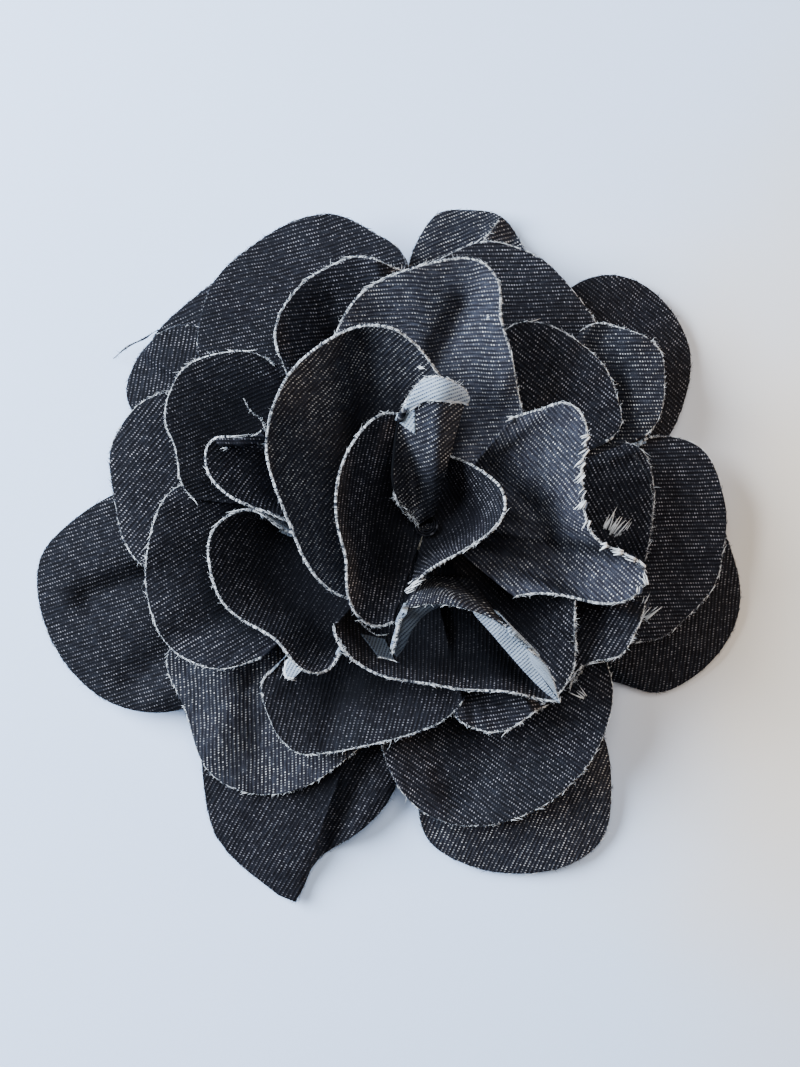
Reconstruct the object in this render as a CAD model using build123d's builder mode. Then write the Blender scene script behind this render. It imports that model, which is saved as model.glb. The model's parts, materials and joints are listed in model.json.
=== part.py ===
from build123d import *
import math
import os

# Denim flower hair clip: layered cloth petals on a felt base, sewn to a sprung metal clip.
# Millimetres. +Z points out of the flower, the table is z = 0, and the clip lies along X.

os.makedirs("parts", exist_ok=True)

# ---------------------------------------------------------------- driving dimensions
CLOTH = 0.7              # thickness of the denim
CORE_X = 5.5             # the petals gather round this point
CORE_Y = 4.5
FIRST_LAYER_Z = 10.4     # underside of the lowest petals where they are gathered
LAYER_STEP = 1.0         # one cloth and its glue, from one layer to the next

FELT = 1.2               # thickness of the felt
FELT_TOP = 9.9           # top of the round felt base
FELT_RADIUS = 15.0

CLIP_Y = CORE_Y          # centre line of the clip
STEEL = 0.8              # thickness of the clip's sheet steel
PLATE_Z = 7.7            # underside of the clip's fixed arm
PIVOT_X = -9.0
PIVOT_Z = 4.4
PIN_RADIUS = 0.75
PIN_CLEARANCE = 0.1
OUTER_EAR = 3.2          # inner face of the fixed arm's ears, from the centre line
INNER_EAR = 2.2          # inner face of the moving arm's ears, from the centre line
EAR = 0.8                # thickness of an ear

# ---------------------------------------------------------------- petals
# Each petal: layer, radius it is gathered at, how late it bends, and its rim as points
# in millimetres from one side to the other.  A rim height is the cloth's underside.
PETALS = {
    "outer_back_left": (0, 8, 2.1, [
        (-23.5, 42, 4.2), (-27, 43, 2.8), (-29.5, 41.5, 2), (-34.5, 37.5, 1),
        (-37.5, 34, 0.8), (-37, 28, 2)]),
    "outer_left": (0, 8, 2.1, [
        (-37.5, 11.5, 5), (-46, 8, 2.5), (-51, 4.5, 1.2), (-55, 0, 0.6), (-55.5, -8, 0.5),
        (-50, -19, 0.8), (-45, -23, 1.6), (-38, -25, 2.4), (-31.5, -24, 3.6)]),
    "outer_front_left": (0, 8, 2.1, [
        (-29.5, -28.5, 4), (-29.5, -33, 3), (-29, -39, 1.8), (-27.5, -44.5, 1),
        (-24, -49, 0.5), (-18.5, -53.5, 0.2), (-15.5, -55, 0.2), (-13.5, -52.5, 0.5),
        (-11.5, -48.5, 1.2), (-6.5, -45, 2), (-1, -40, 3), (1.5, -34, 4.5)]),
    "outer_front": (0, 8, 1.9, [
        (4, -34, 5), (4.5, -40, 3.5), (6, -45, 2), (10.5, -48.5, 1), (17, -50.5, 0.4),
        (24, -50.5, 0.3), (30, -48.5, 0.7), (34, -44.5, 1), (35, -39, 1.4),
        (34.5, -31.5, 2.6), (33, -27, 4)]),
    "outer_right": (0, 8, 2.1, [
        (52.5, 3.5, 4.4), (54, 0, 2.5), (55.5, -6, 1), (55, -10.5, 0.4), (52, -16, 0.2),
        (47.5, -20, 0.3), (42, -22, 0.8), (38, -21, 1.6), (34.5, -20, 2.8)]),
    "outer_back_right": (0, 8, 2.1, [
        (26.5, 39.5, 5.5), (30.5, 43, 3), (35, 44, 2), (41, 42, 1), (45, 38, 0.6),
        (47.5, 32.5, 0.5), (47.5, 27.5, 0.7), (46, 22.5, 1.6), (43.5, 18, 3.4),
        (40, 15.5, 5)]),
    "outer_back": (0, 8, 2.1, [
        (3, 42, 6), (3.5, 47, 3.5), (5, 50.5, 2), (8, 54, 0.9), (12, 54.5, 0.5),
        (17.5, 53.5, 0.8), (20.5, 49.5, 2), (22.5, 46, 4)]),
    "outer_left_small": (1, 8, 2.1, [
        (-29.5, 35, 5.2), (-33.5, 35.5, 3.2), (-38, 33, 2.6), (-40.5, 29.5, 1.8),
        (-41.5, 25, 1.9), (-40.5, 22.5, 2.6), (-37.5, 20, 5)]),
    "middle_front_left": (2, 7, 2.0, [
        (-33, -13.5, 8.4), (-34.5, -17, 7.4), (-32.5, -22.5, 6.4), (-31, -27, 6),
        (-28.5, -33.5, 5.4), (-24.5, -36.5, 5.2), (-19.5, -37.5, 5.6), (-14, -36.5, 6.5),
        (-9, -33.5, 7.8), (-5.5, -30.5, 9), (-3.5, -28.5, 10)]),
    "middle_front": (1, 7, 2.2, [
        (-1, -29, 8.5), (0, -33.5, 7), (2, -37, 6), (6.5, -41, 5), (14.5, -42.5, 4.6),
        (20.5, -41, 4.8), (26.5, -37.5, 5.5), (31, -32.5, 6.6), (34, -25.5, 7.8),
        (34.5, -21, 8.6), (33.5, -17, 9.4)]),
    "middle_right": (1, 7, 2.0, [
        (38.5, 17, 9), (45, 18, 6.8), (49, 16, 6.2), (51.5, 11, 6), (52.5, 6, 6),
        (52, 0.5, 6), (50.5, -5, 6.2), (46.5, -9.5, 6.6), (42, -13, 7.4),
        (38.5, -13.5, 8.4), (35.5, -13.5, 9.4)]),
    "middle_back": (1, 7, 2.0, [
        (3.5, 44, 9.5), (6.5, 45, 8.6), (10.5, 47, 7.8), (15, 48.5, 7), (20, 47.5, 6.6),
        (23.5, 46, 6.5), (28.5, 41, 6.4), (32, 36, 6.8), (33.5, 31.5, 7.6)]),
    "middle_back_left": (2, 7, 2.0, [
        (-27, 26, 9.5), (-29.5, 30.5, 8), (-29.5, 36, 6.5), (-27, 43, 5.5),
        (-21.5, 48, 5.5), (-14.5, 52, 6), (-7.5, 52.5, 7), (-2, 49.5, 8), (1, 47.5, 9.2),
        (2.5, 44.5, 10.2)]),
    "middle_left": (2, 7, 2.0, [
        (-31.5, 25.5, 9.5), (-34.5, 25, 8.4), (-38.5, 23.5, 6.8), (-41.5, 20.5, 5.6),
        (-43.5, 16.5, 5.2), (-43, 9, 5.2), (-41.5, 2.5, 5.8), (-38, -2, 7.5),
        (-34.5, -3.5, 9)]),
    "middle_right_folded": (2, 7, 2.0, [
        (30, 34.5, 10.4), (32, 35.5, 9.8), (35, 35, 9.3), (39.5, 33.5, 9), (42, 31, 8.6),
        (42.5, 26.5, 8.6), (42, 22, 8.8), (39.5, 18.5, 9.5)]),
    "middle_back_inner": (3, 6, 2.0, [
        (17, 33.5, 13), (21, 35.5, 12), (25.5, 34.5, 12), (29.5, 32, 11.8),
        (33, 28.5, 11.6), (35, 23.5, 11.6), (35.5, 20.5, 11.8), (33, 17.5, 12.6)]),
    "middle_right_inner": (3, 6, 2.0, [
        (36, 17, 12.6), (38.5, 16, 11.8), (40, 13, 11.4), (40.5, 9, 11.2), (40, 3.5, 11.5),
        (39, -1, 12.2)]),
    "inner_right_low": (2, 6, 2.0, [
        (39, -7.5, 12.4), (38.5, -9.5, 12), (37, -13, 11.8), (35, -15.5, 11.8),
        (32.5, -16, 12), (29.5, -17, 12), (27.5, -20.5, 12.4)]),
    "inner_front_small": (2, 6, 2.0, [
        (9.5, -23, 12.6), (10.5, -25, 12), (13, -26.5, 11.5), (17.5, -27, 11.2),
        (21.5, -24.5, 11.5), (24, -23, 12)]),
    "inner_right_front": (3, 6, 2.0, [
        (28, -4.5, 15), (28, -8, 14.5), (28, -12, 14), (28, -16.5, 14), (26, -20.5, 14.5),
        (23, -22.5, 15.5)]),
    "inner_front_left": (3, 6, 2.0, [
        (-18, -18, 12.6), (-19.5, -20.5, 11.5), (-19, -23.5, 10.5), (-17, -28, 10),
        (-14, -30.5, 10), (-10, -30.5, 10.5), (-5, -29.5, 11.5), (2.5, -27.5, 13),
        (7.5, -25.5, 14), (11, -22, 15.5)]),
    "inner_back_left": (3, 6, 2.0, [
        (-14.5, 26, 17), (-16.2, 29.5, 16.5), (-17, 34, 15.5), (-15.5, 38, 14.6),
        (-12.5, 41.5, 14.4), (-8, 44, 14.6), (-4.5, 45, 15), (0, 43.5, 16),
        (2.5, 42.5, 16.6)]),
    "inner_left": (3, 6, 2.0, [
        (-30.5, 11, 11.8), (-34, 9, 11), (-36.5, 3.5, 10.2), (-37.5, -3, 9.4),
        (-36.5, -9.5, 9), (-34, -14, 9.5), (-30, -16.5, 10.6), (-26, -17.5, 11.2),
        (-22, -16.5, 12.4), (-19.5, -15.5, 13.6)]),
    "inner_left_upper": (4, 6, 2.0, [
        (-17.5, 28.5, 15.2), (-20.5, 30.5, 14.2), (-26, 30.5, 13), (-31, 28.5, 12.5),
        (-33.5, 24.5, 12.5), (-34, 20, 12.5), (-32.5, 16, 12.9), (-31.5, 11, 13.6),
        (-29.5, 8.5, 14.4)]),
    "inner_back": (4, 6, 2.0, [
        (-9, 28.5, 19), (-8, 32.5, 19), (-6, 36.5, 19.5), (-2.5, 40, 20), (2, 42, 20.5),
        (7.5, 43.5, 20.5), (13.5, 43.5, 20), (16, 41, 19.5), (16.5, 35.5, 19),
        (18, 30.5, 19), (19, 25.5, 18.5), (20, 21, 18)]),
    "inner_left_oval": (4, 6, 2.0, [
        (-14, 3, 19), (-16.5, 4, 18.4), (-20.5, 6.5, 17.5), (-24.5, 5.5, 16.5),
        (-27, 2, 16), (-27, -1, 15.8), (-25, -7, 16), (-20.5, -10.5, 16.5),
        (-16.5, -13, 17), (-13, -17, 17.5), (-11.5, -17.5, 18), (-7.5, -14.5, 19)]),
    "heart_front_low": (5, 4, 2.0, [
        (-8, -10.5, 21), (-7.5, -12.5, 20.5), (-4.5, -16, 19.5), (-0.5, -18, 19),
        (5.5, -19, 19), (11.5, -20, 18.5), (19, -20.5, 18.5), (23, -21.5, 19),
        (25, -21.5, 20)]),
    "inner_left_cuff": (5, 6, 2.0, [
        (-19, 18.5, 18.5), (-23, 17.5, 18), (-26.5, 17, 17.5), (-27.5, 14, 17),
        (-26.5, 11.5, 17), (-23, 8.5, 17.5), (-18, 6.5, 19), (-14.5, 5, 20.5)]),
    "heart_right": (5, 4, 1.6, [
        (18, 20, 23.4), (19.5, 20.5, 24), (23, 21.5, 25.5), (26, 22, 26.5),
        (28.5, 19, 27), (28, 14, 27), (28, 9.5, 26.5), (30, 2.5, 25.5), (33.5, 0.5, 24.5),
        (37.5, -2.5, 23.5), (36.5, -5.5, 23), (32, -7, 22.5), (27, -6, 22.5),
        (23, -5.5, 22.5), (18.5, -6, 22.5)]),
    "heart_left": (6, 4, 1.6, [
        (7.5, 25.5, 28), (4.5, 29.5, 29), (0.5, 32.5, 29.5), (-3, 33, 29.5),
        (-8.5, 31, 29), (-14, 26.5, 28), (-17, 20, 27.5), (-17.5, 14.5, 27),
        (-16.5, 10.5, 26.5), (-14, 4, 26), (-10.5, -3, 25), (-6.5, -6, 23.5),
        (-4.5, -6.5, 22.5)]),
    "heart_hood": (6, 4, 1.2, [
        (0.5, -14, 26), (1, -11, 28), (2, -8.5, 29), (6, -7, 30), (10.5, -7.5, 30),
        (15.5, -9.5, 29), (19.5, -12.5, 27.5), (23.5, -17, 25.5), (25, -21.5, 24)]),
    "heart_left_inner": (7, 1.4, 1.6, [
        (2.5, 19.5, 27.5), (0, 20.5, 28), (-4.5, 17, 28.5), (-7, 11.5, 28.5),
        (-7, 3.5, 28.5), (-6, -0.5, 28.5), (-5.5, -6.5, 28), (-2.5, -10, 27),
        (0.5, -9.5, 26.5)]),
    "heart_right_inner": (8, 0.9, 1.4, [
        (8.5, 14.5, 24), (10, 14, 25), (13.5, 12, 28), (16.5, 8.5, 29.5),
        (16.5, 6.5, 29.5), (14.5, 3.5, 28.5), (11, 1, 27.5), (6.5, -1.5, 27),
        (3, -5, 26.5)]),
    "bud": (9, 1, 0.8, [
        (3.2, 5.2, 21.5), (1.6, 7.4, 24.5), (0.8, 10, 27), (1, 15, 30.5), (1.8, 20, 33.5),
        (3.2, 23, 35.5), (5.5, 25, 37), (7.5, 25, 37.5), (9, 24.5, 37),
        (11.5, 22.5, 35), (11.2, 19.5, 34)]),
}

# Three petals are gathered along a straight edge instead of round the core.
STRAIGHT_EDGES = {
    "inner_left_oval": ((-6.5, 1.5), (-3.0, -8.5)),
    "heart_hood": ((3.5, -3.0), (12.0, -3.0)),
    "bud": ((4.4, 4.2), (6.6, 4.8)),
}

RIM_STEPS = 28           # sections taken across a petal
RIB_STEPS = 6            # sections taken from its gathered edge to its rim


def gathered_point(name, radius, rim_point, along):
    """The point of the gathered edge that faces one point of the rim."""
    if name in STRAIGHT_EDGES:
        (x0, y0), (x1, y1) = STRAIGHT_EDGES[name]
        return x0 + (x1 - x0) * along, y0 + (y1 - y0) * along
    dx = rim_point.X - CORE_X
    dy = rim_point.Y - CORE_Y
    length = math.hypot(dx, dy)
    return CORE_X + radius * dx / length, CORE_Y + radius * dy / length


def petal_face(name):
    """The underside of one petal, spanned between its gathered edge and its rim."""
    layer, radius, bend, rim = PETALS[name]
    foot_z = FIRST_LAYER_Z + LAYER_STEP * layer
    with BuildLine(mode=Mode.PRIVATE) as edge:
        Spline(*rim)
    rows = []
    for i in range(RIM_STEPS + 1):
        along = i / RIM_STEPS
        end = edge.line @ along
        foot_x, foot_y = gathered_point(name, radius, end, along)
        row = []
        for j in range(RIB_STEPS + 1):
            out = j / RIB_STEPS
            row.append(Vector(
                foot_x + (end.X - foot_x) * out,
                foot_y + (end.Y - foot_y) * out,
                foot_z + (end.Z - foot_z) * out ** bend,
            ))
        rows.append(row)
    face = Face.make_surface_from_array_of_points(rows)
    return face if face.normal_at().Z > 0 else -face


for petal_name in PETALS:
    with BuildPart() as petal:
        extrude(petal_face(petal_name), amount=CLOTH, dir=(0, 0, 1))
    petal.part.label = petal_name
    export_step(petal.part, f"parts/{petal_name}.step")

# ---------------------------------------------------------------- glue core and felt
# The hot-melt core fills the well that the gathered edges leave, one step per layer group.
with BuildPart() as glue_core:
    with BuildSketch(Plane.XZ):
        with BuildLine():
            Polyline(
                (0, FELT_TOP + 0.05),
                (7.6, FELT_TOP + 0.05),
                (7.6, 11.2),
                (6.7, 11.4),
                (5.7, 12.6),
                (5.7, 14.4),
                (3.7, 15.2),
                (3.7, 16.4),
                (2.7, 16.9),
                (1.2, 17.2),
                (0.7, 18.2),
                (0.6, 19.3),
                (0, 19.3),
                close=True,
            )
        make_face()
    revolve(axis=Axis.Z)
glue_core.part.position = (CORE_X, CORE_Y, 0)
glue_core.part.label = "glue_core"
export_step(glue_core.part, "parts/glue_core.step")

with BuildPart() as felt_base:
    with Locations((CORE_X, CORE_Y, FELT_TOP - FELT)):
        Cylinder(FELT_RADIUS, FELT, align=(Align.CENTER, Align.CENTER, Align.MIN))
    fillet(felt_base.edges().filter_by(GeomType.CIRCLE), 0.3)
felt_base.part.label = "felt_base"
export_step(felt_base.part, "parts/felt_base.step")

# A felt strap crosses under the fixed arm and is glued to the base on both sides of it.
STRAP_X0 = 3.0
STRAP_X1 = 13.0
STRAP_INSIDE = 3.6       # half the width of the slot the arm lies in
STRAP_OUTSIDE = 10.5
BASE_UNDERSIDE = FELT_TOP - FELT
with BuildPart() as felt_strap:
    with BuildSketch(Plane.YZ.offset(STRAP_X0)):
        with BuildLine():
            Polyline(
                (CLIP_Y - STRAP_OUTSIDE, BASE_UNDERSIDE - 0.05),
                (CLIP_Y - STRAP_INSIDE, BASE_UNDERSIDE - 0.05),
                (CLIP_Y - STRAP_INSIDE, PLATE_Z - 0.05),
                (CLIP_Y + STRAP_INSIDE, PLATE_Z - 0.05),
                (CLIP_Y + STRAP_INSIDE, BASE_UNDERSIDE - 0.05),
                (CLIP_Y + STRAP_OUTSIDE, BASE_UNDERSIDE - 0.05),
                (CLIP_Y + STRAP_OUTSIDE, BASE_UNDERSIDE - 1.0),
                (CLIP_Y + STRAP_INSIDE + 1.2, BASE_UNDERSIDE - 1.0),
                (CLIP_Y + STRAP_INSIDE + 0.4, PLATE_Z - 1.05),
                (CLIP_Y - STRAP_INSIDE - 0.4, PLATE_Z - 1.05),
                (CLIP_Y - STRAP_INSIDE - 1.2, BASE_UNDERSIDE - 1.0),
                (CLIP_Y - STRAP_OUTSIDE, BASE_UNDERSIDE - 1.0),
                close=True,
            )
        make_face()
    extrude(amount=STRAP_X1 - STRAP_X0)
felt_strap.part.label = "felt_strap"
export_step(felt_strap.part, "parts/felt_strap.step")

# Four thread stitches hold the strap's tabs to the base.
STITCH_RADIUS = 0.25
stitch_number = 0
for stitch_x in (STRAP_X0 + 2.0, STRAP_X1 - 2.0):
    for side in (-1, 1):
        stitch_number += 1
        stitch_y = CLIP_Y + side * (STRAP_OUTSIDE - 3.0)
        stitch_z = BASE_UNDERSIDE - 1.0 - STITCH_RADIUS - 0.02
        with BuildPart(Plane((stitch_x, stitch_y, stitch_z), z_dir=(0, 1, 0))) as stitch:
            Cylinder(STITCH_RADIUS, 3.2)
            fillet(stitch.edges(), 0.2)
        stitch.part.label = f"stitch_{stitch_number}"
        export_step(stitch.part, f"parts/stitch_{stitch_number}.step")

# ---------------------------------------------------------------- clip, fixed arm
ARM_BACK = -25.0
ARM_BEAK = 27.0
HALF_WIDTH = OUTER_EAR + EAR
BEAK_HALF_WIDTH = 2.8
EAR_HALF_LENGTH = 3.2

with BuildPart() as upper_arm:
    with BuildSketch(Plane.XY.offset(PLATE_Z)) as plate:
        with BuildLine():
            Polyline(
                (ARM_BACK, CLIP_Y - HALF_WIDTH),
                (2.0, CLIP_Y - 3.4),
                (ARM_BEAK, CLIP_Y - BEAK_HALF_WIDTH),
                (ARM_BEAK, CLIP_Y + BEAK_HALF_WIDTH),
                (2.0, CLIP_Y + 3.4),
                (ARM_BACK, CLIP_Y + HALF_WIDTH),
                close=True,
            )
        make_face()
        fillet(plate.vertices().group_by(Axis.X)[0], 3.0)
        fillet(plate.vertices().group_by(Axis.X)[-1], 2.0)
    extrude(amount=STEEL)
    for side in (-1, 1):
        with BuildSketch(Plane.XZ.offset(-(CLIP_Y + side * (OUTER_EAR + EAR / 2)))) as ear:
            with BuildLine():
                Polyline(
                    (PIVOT_X - EAR_HALF_LENGTH - 1.5, PLATE_Z + 0.4),
                    (PIVOT_X - EAR_HALF_LENGTH, 3.0),
                    (PIVOT_X - 1.4, 2.2),
                    (PIVOT_X + 1.4, 2.2),
                    (PIVOT_X + EAR_HALF_LENGTH, 3.0),
                    (PIVOT_X + EAR_HALF_LENGTH + 1.5, PLATE_Z + 0.4),
                    close=True,
                )
            make_face()
            with Locations((PIVOT_X, PIVOT_Z)):
                Circle(PIN_RADIUS + PIN_CLEARANCE, mode=Mode.SUBTRACT)
        extrude(amount=EAR / 2, both=True)
upper_arm.part.label = "clip_upper_arm"
export_step(upper_arm.part, "parts/clip_upper_arm.step")

# ---------------------------------------------------------------- clip, moving arm
LOWER_HALF_WIDTH = 3.0
BEAK_GAP = 0.06          # air between the closed beaks

with BuildPart() as lower_arm:
    with BuildSketch(Plane.XZ.offset(-(CLIP_Y - LOWER_HALF_WIDTH))):
        with BuildLine():
            underside = Spline(
                (26.6, PLATE_Z - BEAK_GAP - STEEL),
                (19.0, 5.4),
                (8.0, 3.0),
                (-3.0, 1.5),
                (-14.0, 0.7),
                (-20.5, 0.0),
                tangents=((-1, -0.25), (-1, 0)),
            )
            Line((-20.5, 0.0), (-26.5, 0.0))
            Line((-26.5, 0.0), (-26.5, STEEL))
            Line((-26.5, STEEL), (-20.5, STEEL))
            Spline(
                (-20.5, STEEL),
                (-14.0, 0.7 + STEEL),
                (-3.0, 1.5 + STEEL),
                (8.0, 3.0 + STEEL),
                (19.0, 5.4 + STEEL),
                (26.6, PLATE_Z - BEAK_GAP),
                tangents=((1, 0), (1, 0.25)),
            )
            Line((26.6, PLATE_Z - BEAK_GAP), (26.6, PLATE_Z - BEAK_GAP - STEEL))
        make_face()
    extrude(amount=-2 * LOWER_HALF_WIDTH)
    for side in (-1, 1):
        with BuildSketch(Plane.XZ.offset(-(CLIP_Y + side * (INNER_EAR + EAR / 2)))):
            with BuildLine():
                Polyline(
                    (PIVOT_X - 3.6, 1.3),
                    (PIVOT_X - 2.0, 5.6),
                    (PIVOT_X - 0.9, 6.2),
                    (PIVOT_X + 0.9, 6.2),
                    (PIVOT_X + 2.0, 5.6),
                    (PIVOT_X + 3.6, 1.7),
                    close=True,
                )
            make_face()
            with Locations((PIVOT_X, PIVOT_Z)):
                Circle(PIN_RADIUS + PIN_CLEARANCE, mode=Mode.SUBTRACT)
        extrude(amount=EAR / 2, both=True)
lower_arm.part.label = "clip_lower_arm"
export_step(lower_arm.part, "parts/clip_lower_arm.step")

# ---------------------------------------------------------------- hinge pin and spring
with BuildPart(Plane((PIVOT_X, CLIP_Y, PIVOT_Z), z_dir=(0, 1, 0))) as hinge_pin:
    Cylinder(PIN_RADIUS, 2 * (HALF_WIDTH + 0.1))
    for side in (-1, 1):
        with Locations((0, 0, side * (HALF_WIDTH + 0.35))):
            Cylinder(1.3, 0.5)
    fillet(hinge_pin.edges().group_by(Axis.Y)[0], 0.2)
    fillet(hinge_pin.edges().group_by(Axis.Y)[-1], 0.2)
hinge_pin.part.label = "hinge_pin"
export_step(hinge_pin.part, "parts/hinge_pin.step")

WIRE = 0.3               # radius of the spring wire
COIL_RADIUS = 1.25
COIL_PITCH = 0.75
COIL_TURNS = 2.5         # half a turn more or less would put a leg on the wrong side
LEG_REACH = 7.5
coil_length = COIL_PITCH * COIL_TURNS
coil_y = CLIP_Y - coil_length / 2

with BuildPart() as spring:
    with BuildLine():
        coil = Helix(
            pitch=COIL_PITCH,
            height=coil_length,
            radius=COIL_RADIUS,
            center=(PIVOT_X, coil_y, PIVOT_Z),
            direction=(0, 1, 0),
        )
    with BuildSketch(Plane(origin=coil @ 0, z_dir=coil % 0)):
        Circle(WIRE)
    sweep(path=coil, is_frenet=True)
    for leg_start, leg_end_z in ((coil @ 0, PLATE_Z - 0.5), (coil @ 1, 1.85)):
        leg = Vector(PIVOT_X - LEG_REACH, leg_start.Y, leg_end_z) - leg_start
        with BuildSketch(Plane(origin=leg_start, z_dir=leg)):
            Circle(WIRE)
        extrude(amount=leg.length)
        with Locations(leg_start):
            Sphere(WIRE)
spring.part.label = "spring"
export_step(spring.part, "parts/spring.step")
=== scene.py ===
import json
import math

import bpy
import numpy as np
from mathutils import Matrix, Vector
from mathutils.bvhtree import BVHTree


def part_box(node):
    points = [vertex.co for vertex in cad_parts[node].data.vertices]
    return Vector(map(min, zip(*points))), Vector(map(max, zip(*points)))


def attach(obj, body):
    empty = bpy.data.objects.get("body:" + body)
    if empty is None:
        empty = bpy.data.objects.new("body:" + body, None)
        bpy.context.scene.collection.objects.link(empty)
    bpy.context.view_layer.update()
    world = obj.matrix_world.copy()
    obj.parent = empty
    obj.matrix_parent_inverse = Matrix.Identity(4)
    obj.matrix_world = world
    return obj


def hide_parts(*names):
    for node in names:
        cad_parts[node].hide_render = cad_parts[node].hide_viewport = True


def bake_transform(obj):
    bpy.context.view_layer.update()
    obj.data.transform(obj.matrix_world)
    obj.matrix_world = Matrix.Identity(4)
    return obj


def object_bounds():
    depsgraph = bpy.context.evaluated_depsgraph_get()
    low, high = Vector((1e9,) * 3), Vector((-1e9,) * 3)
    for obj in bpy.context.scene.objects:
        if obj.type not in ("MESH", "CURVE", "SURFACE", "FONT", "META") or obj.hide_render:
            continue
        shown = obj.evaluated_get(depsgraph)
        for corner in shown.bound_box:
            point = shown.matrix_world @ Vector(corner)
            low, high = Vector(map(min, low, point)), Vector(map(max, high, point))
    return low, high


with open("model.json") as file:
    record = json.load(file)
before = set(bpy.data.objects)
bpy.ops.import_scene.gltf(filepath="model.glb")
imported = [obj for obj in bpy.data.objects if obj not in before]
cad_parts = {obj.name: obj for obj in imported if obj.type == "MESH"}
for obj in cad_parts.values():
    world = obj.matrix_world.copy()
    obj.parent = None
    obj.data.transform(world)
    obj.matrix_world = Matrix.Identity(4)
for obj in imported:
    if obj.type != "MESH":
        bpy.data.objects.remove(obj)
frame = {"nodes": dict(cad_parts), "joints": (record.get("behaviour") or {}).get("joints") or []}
cad_low, cad_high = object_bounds()

MM = 0.001
SKY = 0.2                        # m, above everything: rays fall from here
rng = np.random.default_rng(11)

# ---------------------------------------------------------------- the camera and its picture
CAMERA_HEIGHT = 0.320            # above the table
PICTURE_HEIGHT = 0.1697          # of table seen from top to bottom
CAMERA_X = 1.65 * MM
CAMERA_Y = 3.2 * MM
SENSOR_HEIGHT = 36.0             # mm

# ---------------------------------------------------------------- cloth
CLOTH = 0.42 * MM                # thickness of the denim as drawn
TWILL_PITCH = 0.60               # mm between two twill lines
FLECK_STEP = 0.40                # mm between two weft flecks along a line
LINE_SHIFT = 0.37                # how far each line's flecks are set on from the last, in flecks
LINE_JITTER = 0.35               # and how far at random, in flecks
FLECK_LEAN = 0.22                # flecks lean a little, as weft does between two warp floats


# ================================================================ small helpers
def lerp(a, b, t):
    return a + (b - a) * t


def smooth(low, high, x):
    t = np.clip((x - low) / (high - low), 0.0, 1.0)
    return t * t * (3 - 2 * t)


def unit(v):
    return v / np.maximum(np.linalg.norm(v, axis=-1, keepdims=True), 1e-12)


def run_along(points):
    """The length of a polyline up to each of its points."""
    gaps = np.linalg.norm(np.diff(points, axis=0), axis=1)
    return np.concatenate([[0.0], np.cumsum(gaps)])


def resample(points, count):
    """count points evenly spaced along a polyline."""
    run = run_along(points)
    wanted = np.linspace(0.0, run[-1], count)
    return np.stack([np.interp(wanted, run, points[:, k]) for k in range(3)], axis=1)


def curve(points, count):
    """A smooth curve through a few points (mm), as count points in metres."""
    p = np.array(points, float) * MM
    run = run_along(p)
    slope = np.gradient(p, run, axis=0)
    out = []
    for x in np.linspace(0.0, run[-1], count):
        i = min(max(int(np.searchsorted(run, x)) - 1, 0), len(p) - 2)
        h = run[i + 1] - run[i]
        t = (x - run[i]) / h
        out.append(
            (2 * t**3 - 3 * t**2 + 1) * p[i]
            + (t**3 - 2 * t**2 + t) * h * slope[i]
            + (3 * t**2 - 2 * t**3) * p[i + 1]
            + (t**3 - t**2) * h * slope[i + 1]
        )
    return np.array(out)


def nearest(points, place):
    """The number of the point (m) that is nearest to a place (mm), seen from above."""
    return int(np.argmin(np.hypot(*(points[:, :2] / MM - place).T)))


def neighbour_mean(values):
    """The mean of the four neighbours of each value on a grid."""
    wide = np.pad(values, 1, mode="edge")
    return (wide[:-2, 1:-1] + wide[2:, 1:-1] + wide[1:-1, :-2] + wide[1:-1, 2:]) / 4


def turned(flat, degrees):
    """Plan coordinates along a direction and across it."""
    x, y = flat[:, :, 0], flat[:, :, 1]
    c, s = math.cos(math.radians(degrees)), math.sin(math.radians(degrees))
    return np.stack([x * c + y * s, -x * s + y * c], axis=2)


def edge_coordinates(along, inward):
    """Each point's place by the rim, in mm: how far along it and how far in from it."""
    return np.stack([np.broadcast_to(along[:, None], inward.shape), inward], axis=2)


def box(node):
    """A CAD node's lowest and highest corner, in metres."""
    return [np.array(corner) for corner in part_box(node)]


def mesh_tree(mesh):
    """A search tree of a mesh's faces."""
    return BVHTree.FromPolygons([v.co for v in mesh.vertices], [p.vertices for p in mesh.polygons])


def height_at(tree, x, y):
    """The uppermost height at a place, or None beside the faces."""
    hit = tree.ray_cast(Vector((x, y, SKY)), Vector((0, 0, -1)))
    return hit[0].z if hit[0] is not None else None


def tube_faces(rings, sides, first=0, flip=False):
    """The quads and the two caps of a tube, whose vertices are rings of sides points."""
    faces = []
    for i in range(rings - 1):
        for k in range(sides):
            low = first + i * sides + k
            low_next = first + i * sides + (k + 1) % sides
            high, high_next = low + sides, low_next + sides
            faces.append((low, high, high_next, low_next) if flip else (low, low_next, high_next, high))
    start_cap = [first + k for k in range(sides)]
    end_cap = [first + (rings - 1) * sides + k for k in range(sides)]
    faces.append(tuple(start_cap if flip else start_cap[::-1]))
    faces.append(tuple(end_cap[::-1] if flip else end_cap))
    return faces


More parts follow.
